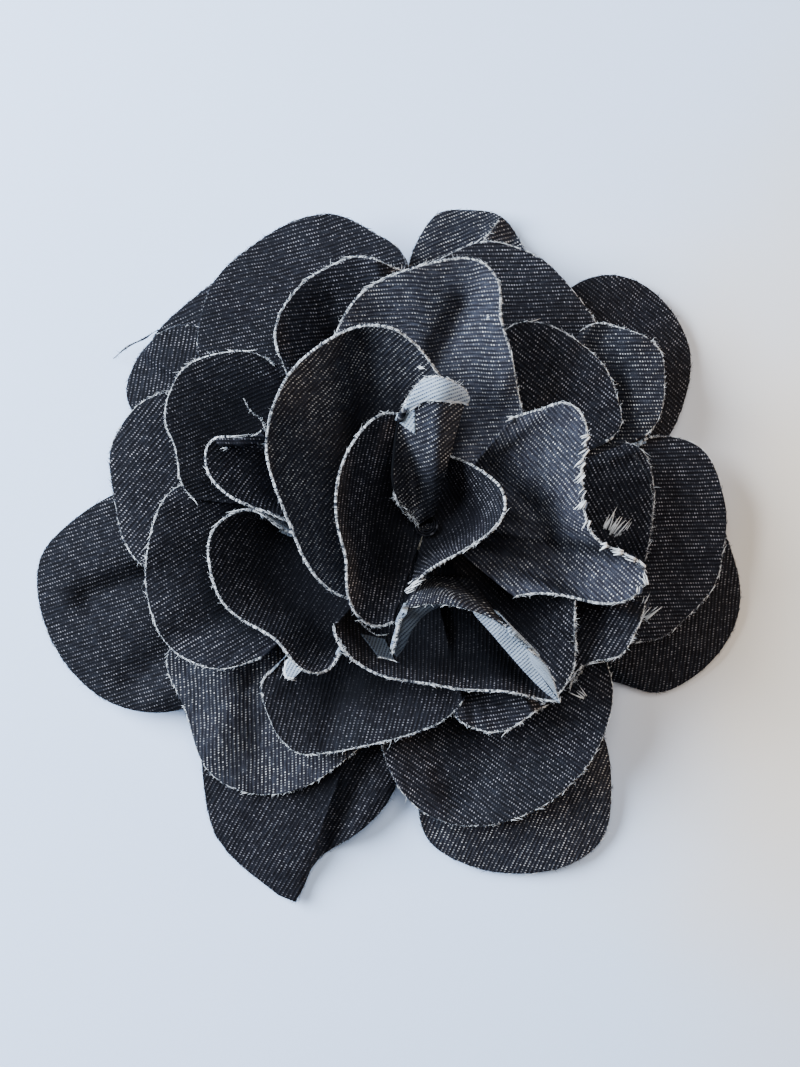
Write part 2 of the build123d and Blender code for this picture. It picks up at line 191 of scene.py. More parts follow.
def new_mesh(name, vertices, faces, materials, face_material=None, uvs=None, extra=None):
    """A mesh object. uvs and extra are one (u, v) per vertex, in millimetres."""
    mesh = bpy.data.meshes.new(name)
    mesh.from_pydata([tuple(v) for v in vertices], [], [tuple(f) for f in faces])
    for material in materials:
        mesh.materials.append(material)
    if face_material is not None:
        mesh.polygons.foreach_set("material_index", np.array(face_material, np.int32))
    loops = np.zeros(len(mesh.loops), np.int32)
    mesh.loops.foreach_get("vertex_index", loops)
    for layer_name, values in (("cloth", uvs), ("edge", extra)):
        if values is not None:
            layer = mesh.uv_layers.new(name=layer_name)
            layer.data.foreach_set("uv", np.asarray(values, np.float32)[loops].ravel())
    mesh.polygons.foreach_set("use_smooth", np.ones(len(mesh.polygons), bool))
    mesh.update()
    obj = bpy.data.objects.new(name, mesh)
    bpy.context.scene.collection.objects.link(obj)
    return obj


# ================================================================ node-based materials
class Graph:
    """A short way to write a material's node graph."""

    def __init__(self, name):
        self.material = bpy.data.materials.new(name)
        self.material.use_nodes = True
        self.tree = self.material.node_tree
        self.tree.nodes.clear()
        self.bsdf = self.node("BsdfPrincipled")
        self.tree.links.new(self.bsdf.outputs[0], self.node("OutputMaterial").inputs[0])

    def node(self, kind):
        return self.tree.nodes.new(f"ShaderNode{kind}")

    def put(self, socket, value):
        if isinstance(value, bpy.types.NodeSocket):
            self.tree.links.new(value, socket)
        elif isinstance(value, tuple) and len(value) == 3 and socket.type == "RGBA":
            socket.default_value = (*value, 1.0)
        else:
            socket.default_value = value

    def math(self, operation, a, b=0.0):
        node = self.node("Math")
        node.operation = operation
        self.put(node.inputs[0], a)
        self.put(node.inputs[1], b)
        return node.outputs[0]

    def plus(self, a, b):
        return self.math("ADD", a, b)

    def minus(self, a, b):
        return self.math("SUBTRACT", a, b)

    def times(self, a, b):
        return self.math("MULTIPLY", a, b)

    def over(self, a, b):
        return self.math("DIVIDE", a, b)

    def ramp(self, value, low, high, to_low=0.0, to_high=1.0):
        """Carries low..high over to to_low..to_high, smoothly and without passing either."""
        node = self.node("MapRange")
        node.interpolation_type = "SMOOTHSTEP"
        keys = ("Value", "From Min", "From Max", "To Min", "To Max")
        for key, v in zip(keys, (value, low, high, to_low, to_high)):
            self.put(node.inputs[key], v)
        return node.outputs["Result"]

    def split(self, vector):
        node = self.node("SeparateXYZ")
        self.put(node.inputs[0], vector)
        return node.outputs[0], node.outputs[1], node.outputs[2]

    def uv(self, layer):
        node = self.node("UVMap")
        node.uv_map = layer
        return self.split(node.outputs[0])[:2]

    def place(self):
        return self.node("NewGeometry").outputs["Position"]

    def vector(self, x, y=0.0, z=0.0):
        node = self.node("CombineXYZ")
        for socket, value in zip(node.inputs, (x, y, z)):
            self.put(socket, value)
        return node.outputs[0]

    def noise(self, at, scale, detail=3.0, rough=0.5):
        node = self.node("TexNoise")
        for key, v in (("Vector", at), ("Scale", scale), ("Detail", detail), ("Roughness", rough)):
            self.put(node.inputs[key], v)
        return node.outputs["Fac"]

    def white(self, at):
        node = self.node("TexWhiteNoise")
        self.put(node.inputs["Vector"], at)
        return node.outputs["Value"]

    def mix(self, factor, a, b):
        node = self.node("Mix")
        node.data_type = "RGBA"
        # a Mix node has its factor at 0 and its two colours at 6 and 7
        for number, value in ((0, factor), (6, a), (7, b)):
            self.put(node.inputs[number], value)
        return node.outputs[2]

    def bump(self, height, strength, distance):
        node = self.node("Bump")
        for key, v in (("Height", height), ("Strength", strength), ("Distance", distance)):
            self.put(node.inputs[key], v)
        self.put(self.bsdf.inputs["Normal"], node.outputs[0])

    def finish(self, color, roughness=0.6, metallic=0.0, sheen=0.0, specular=0.5):
        values = {"Base Color": color, "Roughness": roughness, "Metallic": metallic,
                  "Sheen Weight": sheen, "Sheen Roughness": 0.5, "Specular IOR Level": specular}
        for key, value in values.items():
            self.put(self.bsdf.inputs[key], value)
        return self.material


def twill(g, u, v, fleck_width, fleck_height):
    """Masks of a twill weave in cloth millimetres: (flecks, their random strength, lines)."""
    wobble = g.times(g.minus(g.noise(g.vector(u, v), 0.12, 2.0), 0.5), 0.5)
    across = g.over(g.plus(v, wobble), TWILL_PITCH)
    line = g.math("FLOOR", across)
    in_line = g.minus(g.math("FRACT", across), 0.5)
    shift = g.plus(g.times(line, LINE_SHIFT), g.times(g.white(g.vector(line, 7.0)), LINE_JITTER))
    along = g.plus(g.over(u, FLECK_STEP), shift)
    cell = g.math("FLOOR", along)
    in_cell = g.minus(g.math("FRACT", along), 0.5)
    strength = g.white(g.vector(cell, line))
    x = g.over(in_cell, fleck_width)
    y = g.over(g.plus(in_line, g.times(in_cell, FLECK_LEAN)), fleck_height)
    distance = g.plus(g.times(x, x), g.times(y, y))
    flecks = g.ramp(distance, 1.0, 0.20)
    lines = g.ramp(g.math("ABSOLUTE", in_line), 0.36, 0.10)
    return flecks, strength, lines


# Colours of the denim: its lines and what lies between them, thick yarn, the near-black of the
# painted shade toward the gathered edge, the pale weft, and the bleached rim
VALLEY = (0.0036, 0.0038, 0.0054)
RIB = (0.0088, 0.0091, 0.0124)
SLUB = (0.0130, 0.0150, 0.0215)
PAINTED_SHADE_DARK = (0.0016, 0.0019, 0.0030)
WEFT = (0.47, 0.46, 0.51)
BLEACHED = (0.56, 0.59, 0.63)
BACK_SCALE = 1.3                 # how much finer the weave looks on the wrong side
PLAIN = -2000.0                  # edge coordinate of a stretch of rim that isn't frayed


def denim_material(name, whiteness, shade_starts, shade_full_from, wear_and_light):
    """The right side: dark indigo with pale weft flecks in dotted twill lines.

    Its colours are scaled by the last argument, partly the cloth's own wear and partly painted
    light and shade. From the third argument's distance in from the rim (mm), painted shade darkens
    it toward the gathered edge, in full from the fourth's: near-black, with few flecks.
    """
    g = Graph(name)
    u, v = g.uv("cloth")
    along_edge, from_edge = g.uv("edge")
    cloth = g.vector(u, v)
    flecks, strength, lines = twill(g, u, v, 0.30, 0.22)
    cloudy = g.noise(cloth, 0.22, 3.0, 0.6)
    slub = g.noise(g.vector(g.times(u, 0.4), g.times(v, 2.4)), 1.3, 2.0)
    # the dark colours and the weft are scaled by the last argument: partly wear, partly painted light
    # and shade
    faded_and_lit = lerp(0.35, 1.0, wear_and_light)
    valley, rib, thick = (tuple(c * faded_and_lit for c in shade) for shade in (VALLEY, RIB, SLUB))
    dark = g.mix(lines, valley, rib)
    dark = g.mix(g.ramp(slub, 0.40, 0.75, 0.0, 0.7), dark, thick)
    keep = g.times(flecks, g.ramp(strength, 0.15, 1.15, 0.06, 1.0))
    keep = g.times(keep, g.ramp(cloudy, 0.3, 0.7, 0.30, 1.0))
    patchy = g.noise(g.vector(g.times(u, 0.6), v, 5.0), 0.9, 3.0, 0.7)
    keep = g.times(keep, g.ramp(patchy, 0.30, 0.62, 0.25, 1.0))
    # painted shade: in from the rim the flecks fade and the cloth darkens to near-black at the gathered
    # edge, deep in the flower
    deep = g.ramp(from_edge, shade_starts, shade_full_from)
    keep = g.times(keep, g.ramp(deep, 0.0, 1.0, 1.0, 0.16))
    dark = g.mix(g.times(deep, 0.75), dark, PAINTED_SHADE_DARK)
    color = g.mix(keep, dark, tuple(min(c * wear_and_light, 0.75) for c in WEFT))
    # worn, fraying edge: a broken pale line along the cut
    ragged = g.noise(g.vector(along_edge, 3.0), 0.9, 4.0, 0.75)
    reach = g.ramp(ragged, 0.45, 0.80, -0.05, 0.32)
    edge = g.ramp(g.minus(from_edge, reach), 0.08, -0.05)
    fibre = g.noise(g.vector(g.times(along_edge, 3.0), from_edge), 1.6, 2.0)
    edge = g.times(edge, g.ramp(fibre, 0.40, 0.60, 0.10, 1.0))
    frayed = g.math("GREATER_THAN", along_edge, PLAIN / 2)
    edge = g.times(edge, g.times(frayed, whiteness))
    color = g.mix(edge, color, BLEACHED)
    g.bump(g.plus(g.times(lines, 0.8), flecks), 0.45, 0.00012)
    return g.finish(color, roughness=0.85, specular=0.05)


def wrong_side_material(name, unshaded_share):
    """The wrong side: pale weft with blue specks of warp. The last argument, from 0 to 1, is how much of
    that colour is kept: below 1 the cloth is mixed toward near-black as painted shade.
    """
    g = Graph(name)
    u, v = (g.times(along, BACK_SCALE) for along in g.uv("cloth"))
    from_edge = g.uv("edge")[1]
    flecks, strength, lines = twill(g, u, v, 0.42, 0.34)
    cloudy = g.noise(g.vector(u, v), 0.5, 3.0)
    pale = g.mix(lines, (0.26, 0.31, 0.36), (0.17, 0.21, 0.27))
    pale = g.mix(g.ramp(cloudy, 0.35, 0.7, 0.0, 0.35), pale, (0.16, 0.21, 0.30))
    keep = g.times(flecks, g.ramp(strength, 0.1, 0.8, 0.35, 0.95))
    color = g.mix(keep, pale, (0.012, 0.022, 0.055))
    edge = g.ramp(from_edge, 0.45, 0.1)
    color = g.mix(g.times(edge, 0.7), color, (0.66, 0.70, 0.74))
    # painted shade: mixed toward near-black by the last argument
    color = g.mix(unshaded_share, (0.006, 0.007, 0.010), color)
    g.bump(g.plus(lines, flecks), 0.4, 0.00012)
    return g.finish(color, roughness=0.85, sheen=0.10 * unshaded_share, specular=0.05 + 0.13 * unshaded_share)


def raw_edge_material(name, whiteness):
    """The cut: ends of pale weft between ends of dark warp, more or less bleached along the rim."""
    g = Graph(name)
    along_edge = g.uv("edge")[0]
    dash = g.noise(g.vector(along_edge, 0.0), 1.9, 3.0, 0.8)
    patch = g.noise(g.vector(along_edge, 9.0), 0.16, 2.0)
    pale = g.times(g.ramp(dash, 0.46, 0.60),
                  g.ramp(patch, 0.34, 0.60, 0.25, 1.0))
    frayed = g.math("GREATER_THAN", along_edge, PLAIN / 2)
    pale = g.times(pale, g.times(frayed, whiteness))
    # painted shade: where the rim isn't frayed, its cut is near-black instead of dark blue
    dark = g.mix(frayed, (0.0015, 0.0018, 0.0026), (0.009, 0.011, 0.016))
    color = g.mix(pale, dark, (0.78, 0.81, 0.84))
    g.bump(dash, 0.5, 0.00015)
    return g.finish(color, roughness=0.9, specular=0.05)


def yarn_material(name, dark, pale, share):
    """Cut yarn: pale weft with a share of blue warp ends."""
    g = Graph(name)
    u = g.uv("cloth")[0]
    pick = g.white(g.vector(g.math("FLOOR", u), 1.0))
    color = g.mix(g.ramp(pick, share - 0.02, share + 0.02), dark, pale)
    shade = g.noise(g.place(), 900.0, 2.0)
    color = g.mix(g.ramp(shade, 0.3, 0.7, 0.0, 0.3), color, dark)
    return g.finish(color, roughness=0.9, sheen=0.15, specular=0.15)


# How pale the frayed rims are: the outer petals show theirs least, the heart petals most.
RIM_KINDS = {"outer": 0.20, "middle": 0.75, "inner": 1.0, "heart": 1.0, "bud": 1.0, "lobe": 1.0,
             "worn": 0.35, "deep": 1.0, "dim": 1.0, "crest": 1.0}
# How far in from the rim the flecks show in full and from where the painted shade is full (mm),
# and how bright the denim is made: partly wear, partly painted light and shade. The kind at 4.0 is
# a lit copy (painted light); the kinds at 0.5 and at 0.8 are shaded copies (painted shade).
WEAR_AND_PAINTED_LIGHT = {
    "outer": (9, 24, 0.65), "middle": (7, 21, 0.95), "inner": (3, 13, 1.0), "heart": (5, 14, 1.4),
    "bud": (9, 21, 2.4), "lobe": (14, 26, 2.0), "worn": (14, 34, 1.6), "deep": (1, 5, 0.8),
    "dim": (3, 11, 0.5), "crest": (15, 24, 4.0),
}
DENIM = {
    kind: denim_material(f"denim_{kind}", white, *WEAR_AND_PAINTED_LIGHT[kind]) for kind, white in RIM_KINDS.items()
}
RAW_EDGE = {kind: raw_edge_material(f"cut_{kind}", white) for kind, white in RIM_KINDS.items()}
FRINGE = {
    kind: yarn_material(f"fringe_{kind}", (0.025, 0.030, 0.045), (0.70, 0.73, 0.76), 1.0 - 0.75 * white)
    for kind, white in RIM_KINDS.items()
}
WRONG_SIDE = wrong_side_material("denim_back", 1.0)
# a copy of the wrong side darkened as painted shade, for its shaded places
WRONG_SHADE = wrong_side_material("denim_back_dim", 0.13)


# ================================================================ reading the petals off the frame
def islands(mesh):
    """The vertex numbers of each unconnected part of a mesh: one per face of the CAD solid."""
    parent = list(range(len(mesh.vertices)))

    def root(i):
        while parent[i] != i:
            parent[i] = parent[parent[i]]
            i = parent[i]
        return i

    for edge in mesh.edges:
        a, b = (root(i) for i in edge.vertices)
        if a != b:
            parent[a] = b
    groups = {}
    for i in range(len(mesh.vertices)):
        groups.setdefault(root(i), []).append(i)
    return list(groups.values())


def top_line(mesh, members):
    """The upper edge of a wall, in order from one end to the other, in metres."""
    members = set(members)
    uses = {}
    for polygon in mesh.polygons:
        if polygon.vertices[0] in members:
            for key in polygon.edge_keys:
                uses[key] = uses.get(key, 0) + 1
    links = {}
    for (a, b), count in uses.items():
        if count == 1:
            links.setdefault(a, []).append(b)
            links.setdefault(b, []).append(a)
    loop = [min(links)]
    while True:
        onward = [v for v in links[loop[-1]] if v not in loop[-2:]]
        if not onward or onward[0] == loop[0]:
            break
        loop.append(onward[0])
    points = np.array([mesh.vertices[i].co[:] for i in loop])
    # the loop runs along the top, down one end, back along the bottom and up the other end
    step = np.linalg.norm(np.roll(points, -1, axis=0)[:, :2] - points[:, :2], axis=1)
    corners = np.flatnonzero(step < 1e-7)
    first, last = corners[0], corners[-1]
    one = points[first + 1:last + 1]
    other = np.concatenate([points[last + 1:], points[:first + 1]])
    return one if one[:, 2].mean() > other[:, 2].mean() else other


def read_petal(node):
    """(gathered edge, rim, search tree) of a CAD petal, in metres."""
    mesh = frame["nodes"][node].data
    groups = sorted(islands(mesh), key=len)
    # the rim is the wall that bends most, so it has the most vertices
    *walls, rim = [top_line(mesh, g) for g in groups[:4]]

    def touches(wall, place):
        return np.linalg.norm(wall[[0, -1], :2] - place, axis=1).min() < 0.02 * MM

    sides = [w for w in walls if touches(w, rim[0, :2]) or touches(w, rim[-1, :2])]
    foot = [w for w in walls if not any(w is s for s in sides)][0]
    first_side = [w for w in sides if touches(w, rim[0, :2])][0]
    if not touches(first_side, foot[0, :2]):
        foot = foot[::-1]
    core = np.mean(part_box("glue_core"), axis=0)[:2]
    # the rim is farther from the core than the foot
    if np.hypot(*(rim[:, :2] - core).T).mean() < np.hypot(*(foot[:, :2] - core).T).mean():
        foot, rim = rim, foot
    return foot, rim, mesh_tree(mesh)


# ================================================================ petals
# How each petal is cut and bent: the direction of its twill (grain) in degrees; the kind of denim,
# where it isn't that of its ring; how far its rim curls up; how far it domes or hollows; soft folds,
# each from one place to another (mm) with its depth (a ridge is negative) and its half width; what
# share of the CAD petal's width is used; and stretches of rim that aren't frayed.
STYLE = {
    "outer_back_left": dict(grain=24, curl=5.0, folds=[(-22, 43, -18, 31, 2.6, 3.6)]),
    "outer_left": dict(grain=18, curl=2.5,
                       folds=[(-47, -7, -33, -2, 2.8, 2.6), (-40, -20, -28, -12, 2.0, 3.0)]),
    "outer_front_left": dict(grain=60, curl=0.8, folds=[(-12, -52, -2, -30, 2.0, 1.8)]),
    "outer_front": dict(kind="worn", grain=67, curl=0.8),
    "outer_right": dict(grain=86),
    "outer_back_right": dict(grain=-40),
    "outer_back": dict(kind="worn", grain=24,
                       folds=[(17.5, 53, 14, 48, -1.2, 0.9), (20.5, 52, 18, 46, 1.5, 1.6)]),
    "outer_left_small": dict(grain=80, curl=2.0),
    # painted shade: this middle petal takes the darker outer denim
    "middle_back_left": dict(kind="outer", grain=14, folds=[(-7, 40, -9, 30, 2.2, 2.4)]),
    "middle_left": dict(grain=50, curl=6.0, hollow=1.4),
    "middle_front_left": dict(kind="lobe", grain=90, curl=1.0,
                              folds=[(-19.7, -30, -20, -20, 2.0, 2.2), (-27, -31, -25, -18, -1.6, 3.5)]),
    "middle_front": dict(grain=-35, curl=3.5, hollow=2.2, folds=[(11.5, -36, 10.5, -22, 3.8, 3.6)]),
    "middle_right": dict(grain=2, curl=1.2),
    "middle_back": dict(grain=2),
    "middle_back_inner": dict(grain=-40),
    "middle_right_folded": dict(kind="lobe", grain=0, folds=[(33, 34, 34, 20, 3.0, 2.6)]),
    "middle_right_inner": dict(grain=-62, curl=3.4),
    # painted light: this petal takes the lit denim kind
    "inner_back": dict(kind="crest", grain=4, curl=3.0, hollow=1.6,
                       folds=[(11, 37, 6, 27, 2.4, 1.8), (17, 38, 16, 26, -3.0, 3.4)]),
    "inner_back_left": dict(grain=8, curl=6.5, hollow=2.4, folds=[(-9, 38, -7, 30, 1.6, 2.6)]),
    # painted shade: this petal takes a shaded denim kind
    "inner_left_upper": dict(kind="dim", grain=22, curl=5.0, hollow=2.4),
    "inner_left_cuff": dict(grain=48),
    "inner_left": dict(grain=30, curl=7.0, hollow=2.6),
    "inner_left_oval": dict(grain=57, curl=6.5, hollow=3.2),
    # painted shade: this petal takes a shaded denim kind
    "inner_front_left": dict(kind="dim", grain=75, curl=3.0, hollow=1.0,
                             folds=[(-9, -28, -5, -16, 1.6, 2.6)]),
    "inner_front_small": dict(grain=10),
    "inner_right_low": dict(grain=60),
    "inner_right_front": dict(grain=-45),
    "heart_left": dict(kind="bud", grain=50, curl=3.4, hollow=3.0,
                       folds=[(-4, 30, -3.6, 10, 4.0, 2.6)]),
    "heart_left_inner": dict(grain=78, hollow=0.8),
    # painted light: this petal takes the lit denim kind
    "heart_right": dict(kind="crest", grain=-45, curl=3.0, hollow=-1.0,
                        folds=[(15, 12, 21.5, 6, 4.5, 2.8), (21, 6.5, 27, -4, 3.0, 2.4)]),
    "heart_right_inner": dict(kind="inner", grain=-60),
    "heart_hood": dict(kind="lobe", grain=62, curl=0.4, hollow=-5.0),
    # painted shade: the hood's inside takes the darkest denim kind
    "heart_front_low": dict(kind="deep", grain=88, hollow=6.0, curl=3.0),
    "bud": dict(used=0.90, grain=32, dome=1.0, plain_rim=[((1.2, 8.5), (1.8, 20))],
                folds=[(1.5, 19.5, 4.6, 7.5, 4.0, 1.7), (6.9, 22, 6.6, 7, -2.2, 2.4)]),
}

# How far rims turn up and how deep petals are hollowed, in mm, by ring of petals
CURL = {"outer": 0.8, "middle": 2.2, "inner": 6.0, "heart": 3.0, "bud": 0.3}
HOLLOW = {"outer": 0.3, "middle": 1.2, "inner": 2.4, "heart": 2.6, "bud": 0.0}
ACROSS = 132                     # grid lines across a petal
EDGE_ROWS = (0.55, 0.30, 0.12)   # extra rows this far from the rim, in mm
END_SHARE = 0.16                 # share of a petal's width over which the curl fades at each end
FRINGE_LENGTH = 0.42 * MM        # middling length of a frayed yarn
RIPPLE = 0.28                    # mm, height of the waves across a petal
RIM_RIPPLE = 0.30                # mm, height of the finer waves along its rim
CLOTH_STEP = 40.0                # mm of cloth from one petal's place to the next one's
RIM_STEP = 100.0                 # mm of rim pattern from one petal to the next
ORDER_GAP = 0.12 * MM            # air kept between a petal and the next
ORDER_REACH = 5.0 * MM           # the most a petal is moved for that
PETALS = {}                      # each finished petal's grid, object, search trees and plan box


def ripple(seed, count):
    """A smooth random wave across a petal, mean 0 and about 1 high."""
    local = np.random.default_rng(seed)
    s = np.linspace(0.0, 1.0, count)
    wave = np.zeros(count)
    for turns in (1.5, 2.7, 4.3, 6.1):
        wave += local.normal() / turns**0.6 * np.sin(2 * math.pi * (turns * s + local.random()))
    return wave


def near_line(x, y, fold):
    """How strongly a fold acts at each place: 1 on its line, falling off to each side."""
    x0, y0, x1, y1, depth, width = fold
    px, py = x / MM - x0, y / MM - y0
    dx, dy = x1 - x0, y1 - y0
    t = np.clip((px * dx + py * dy) / (dx * dx + dy * dy), 0.0, 1.0)
    gap = np.hypot(px - t * dx, py - t * dy)
    return np.exp(-(gap / width) ** 2)


def grid_tree(grid):
    """A search tree of the surface through a grid of points."""
    n, m = grid.shape[:2]
    index = np.arange(n * m).reshape(n, m)
    quads = np.stack([index[:-1, :-1], index[1:, :-1], index[1:, 1:], index[:-1, 1:]], axis=2)
    points = [tuple(v) for v in grid.reshape(-1, 3)]
    return BVHTree.FromPolygons(points, quads.reshape(-1, 4).tolist())


def keep_order(base, grid):
    """Moves a petal's points so that it stays over or under each earlier petal as its solid does.

    base holds the points on the CAD solid and grid the same points once bent. Only every third
    column and every second row is tested, and the rest follow.
    """
    columns = [*range(0, grid.shape[0] - 1, 3), grid.shape[0] - 1]
    rows = [*range(0, grid.shape[1] - 1, 2), grid.shape[1] - 1]
    rise = np.zeros((len(columns), len(rows)))
    fall = np.zeros((len(columns), len(rows)))
    clear = CLOTH + ORDER_GAP
    for other in PETALS.values():
        inside = ((grid[:, :, :2] >= other["low"]) & (grid[:, :, :2] <= other["high"])).all(axis=2)
        for a, i in enumerate(columns):
            for b, j in enumerate(rows):
                if not inside[i, j]:
                    continue
                there = height_at(other["tree"], grid[i, j, 0], grid[i, j, 1])
                first = height_at(other["base_tree"], base[i, j, 0], base[i, j, 1])
                if there is None or first is None:
                    continue
                if base[i, j, 2] >= first:
                    rise[a, b] = max(rise[a, b], there + clear - grid[i, j, 2])
                else:
                    fall[a, b] = min(fall[a, b], there - clear - grid[i, j, 2])
    rise = np.minimum(rise, ORDER_REACH)
    fall = np.maximum(fall, -ORDER_REACH)
    change = np.where(rise > 0, rise, fall)
    around = neighbour_mean(change)
    change = np.where(np.abs(around) > np.abs(change), around, change)
    part = np.stack([np.interp(np.arange(grid.shape[1]), rows, row) for row in change])
    every_column = np.arange(grid.shape[0])
    full = [np.interp(every_column, columns, column) for column in part.T]
    grid[:, :, 2] += np.stack(full, axis=1)


def petal_grid(node, seed):
    """A petal's bent top side as a grid [across, out], read off its CAD solid.

    Returns its points, its cloth coordinates, its edge coordinates and the solid's own points.
    """
    style = STYLE[node]
    ring = node.split("_")[0]
    foot, rim, tree = read_petal(node)
    kept = int(ACROSS * style.get("used", 1.0))
    foot, rim = (resample(resample(line, ACROSS)[:kept], ACROSS) for line in (foot, rim))
    rib = np.median(np.linalg.norm(rim[:, :2] - foot[:, :2], axis=1)) / MM
    out = [t for t in np.linspace(0.0, 1.0, max(16, int(rib * 1.3))) if t < 1.0 - 0.9 / rib]
    out = np.array(out + [1.0 - d / rib for d in EDGE_ROWS] + [1.0])
    grid = lerp(foot[:, None, :], rim[:, None, :], out[None, :, None])
    centre = grid[:, :, :2].reshape(-1, 2).mean(axis=0)
    for i in range(ACROSS):
        for j in range(len(out)):
            # the ray falls a hair inside the outline
            z = height_at(tree, *lerp(grid[i, j, :2], centre, 0.004))
            if z is not None:
                grid[i, j, 2] = z
    grid[:, -1, 2] = rim[:, 2]
    base = grid.copy()
    x, y = base[:, :, 0], base[:, :, 1]
    s = np.linspace(0.0, 1.0, ACROSS)[:, None]
    t = out[None, :]
    lift = RIPPLE * ripple(seed, ACROSS)[:, None] * smooth(0.15, 0.7, t) * (1 - 0.3 * t)
    lift = lift + RIM_RIPPLE * ripple(seed + 500, ACROSS)[:, None] * smooth(0.75, 1.0, t)
    lift = lift + style.get("dome", 0.0) * (1 - (2 * s - 1) ** 2) * smooth(0.0, 0.6, t)
    inner_part = smooth(0.0, END_SHARE, s) * smooth(0.0, END_SHARE, 1.0 - s)
    curl = style.get("curl", CURL[ring]) * lerp(0.25, 1.0, inner_part)
    lift = lift + curl * smooth(0.35, 1.05, t) ** 1.5
    lift = lift - style.get("hollow", HOLLOW[ring]) * np.sin(math.pi * t**1.2)
    for fold in style.get("folds", ()):
        lift = lift - fold[4] * near_line(x, y, fold) * smooth(0.1, 0.4, t)
    grid[:, :, 2] += lift * MM
    # a point that is raised moves toward the camera's axis, so that it stays on its line of sight
    grid[:, :, 0] -= (x - CAMERA_X) * lift * MM / CAMERA_HEIGHT
    grid[:, :, 1] -= (y - CAMERA_Y) * lift * MM / CAMERA_HEIGHT
    keep_order(base, grid)
    # cloth coordinates: plan direction from the gathered edge, run length along the rib
    run = np.stack([run_along(line) for line in grid])
    heading = unit(rim[:, :2] - foot[:, :2])
    plan = np.linalg.norm(grid[:, :, :2] - grid[:, :1, :2], axis=2)
    flat = foot[:, None, :2] + heading[:, None, :] * lerp(plan, run, 0.35)[:, :, None]
    # each petal is cut from its own place on the cloth, and its rim wears in its own way
    cloth = turned(flat, style["grain"]) / MM + CLOTH_STEP * seed
    along_rim = run_along(grid[:, -1]) / MM + RIM_STEP * seed
    edge = edge_coordinates(along_rim, (run[:, -1:] - run) / MM)
    for start, end in style.get("plain_rim", ()):
        first, last = sorted((nearest(rim, start), nearest(rim, end)))
        edge[first:last + 1, :, 0] = PLAIN
    return grid, cloth, edge, base


def grid_normals(grid):
    """The upward unit normals of a grid of points."""
    normal = unit(np.cross(np.gradient(grid, axis=0), np.gradient(grid, axis=1)))
    return -normal if normal[:, :, 2].mean() < 0 else normal


def cloth_mesh(name, grid, cloth, edge, materials, thickness=CLOTH):
    """A closed sheet under a grid of top points. materials: its top, its underside, its cut edge."""
    n, m = grid.shape[:2]
    below = grid - grid_normals(grid) * thickness
    outward = unit(grid[:, -1] - grid[:, -3])
    middle = (grid[:, -1] + below[:, -1]) / 2 + outward * thickness * 0.22
    vertices = np.concatenate([grid.reshape(-1, 3), below.reshape(-1, 3), middle])
    uvs = np.concatenate([cloth.reshape(-1, 2), cloth.reshape(-1, 2), cloth[:, -1]])
    extra = np.concatenate([edge.reshape(-1, 2), edge.reshape(-1, 2), edge[:, -1]])
    index = np.arange(n * m).reshape(n, m)
    base = n * m
    mid = 2 * n * m + np.arange(n)
    upward = np.cross(grid[1, 1] - grid[0, 1], grid[0, 2] - grid[0, 1])[2] > 0
    faces = []
    kinds = []

    def quad(a, b, c, d, kind):
        faces.append((a, b, c, d) if upward else (d, c, b, a))
        kinds.append(kind)

    for i in range(n - 1):
        for j in range(m - 1):
            a, b, c, d = index[i, j], index[i + 1, j], index[i + 1, j + 1], index[i, j + 1]
            quad(a, b, c, d, 0)
            quad(base + d, base + c, base + b, base + a, 1)
        quad(index[i, -1], index[i + 1, -1], mid[i + 1], mid[i], 2)
        quad(mid[i], mid[i + 1], base + index[i + 1, -1], base + index[i, -1], 2)
        quad(index[i + 1, 0], index[i, 0], base + index[i, 0], base + index[i + 1, 0], 2)
    for j in range(m - 1):
        quad(index[0, j], index[0, j + 1], base + index[0, j + 1], base + index[0, j], 0)
        quad(index[-1, j + 1], index[-1, j], base + index[-1, j], base + index[-1, j + 1], 0)
    for i, flip in ((0, False), (n - 1, True)):
        corner = (index[i, -1], mid[i], base + index[i, -1])
        if flip == upward:
            corner = corner[::-1]
        faces.append(corner)
        kinds.append(2)
    return new_mesh(name, vertices, faces, materials, kinds, uvs, extra)


def fibres(name, starts, directions, lengths, radii, material, curl=0.35):
    """Many short tapered yarns as one mesh, each bent to one side by curl of its length."""
    count = len(starts)
    taper = np.array([1.0, 0.9, 0.65, 0.15])
    steps, sides = len(taper), 3
    bend = unit(rng.normal(size=(count, 3)))
    t = np.linspace(0.0, 1.0, steps)[None, :, None]
    path = (starts[:, None, :] + directions[:, None, :] * lengths[:, None, None] * t
            + bend[:, None, :] * lengths[:, None, None] * curl * t * t)
    side_a = unit(np.cross(directions, bend))
    side_b = unit(np.cross(directions, side_a))
    around = np.arange(sides) * 2 * math.pi / sides
    ring = (side_a[:, None, None, :] * np.cos(around)[None, None, :, None]
            + side_b[:, None, None, :] * np.sin(around)[None, None, :, None])
    shape = path[:, :, None, :] + ring * taper[None, :, None, None] * radii[:, None, None, None]
    first = np.arange(count)[:, None, None, None] * steps * sides
    j = np.arange(steps - 1)[None, :, None, None] * sides
    k = np.arange(sides)[None, None, :, None]
    k_next = (k + 1) % sides
    quads = [first + j + k, first + j + k_next, first + j + sides + k_next, first + j + sides + k]
    faces = [tuple(q) for q in np.concatenate(quads, axis=3).reshape(-1, 4)]
    root = np.arange(count)[:, None] * steps * sides
    faces += [tuple(cap) for cap in root + np.array([2, 1, 0])]
    faces += [tuple(cap) for cap in root + (steps - 1) * sides + np.arange(3)]
    u = np.repeat(rng.random(count) * 1000.0, steps * sides)
    uvs = np.stack([u, np.zeros_like(u)], axis=1)
    return new_mesh(name, shape.reshape(-1, 3), faces, (material,), None, uvs)


def add_piece(obj, body="flower"):
    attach(obj, body)


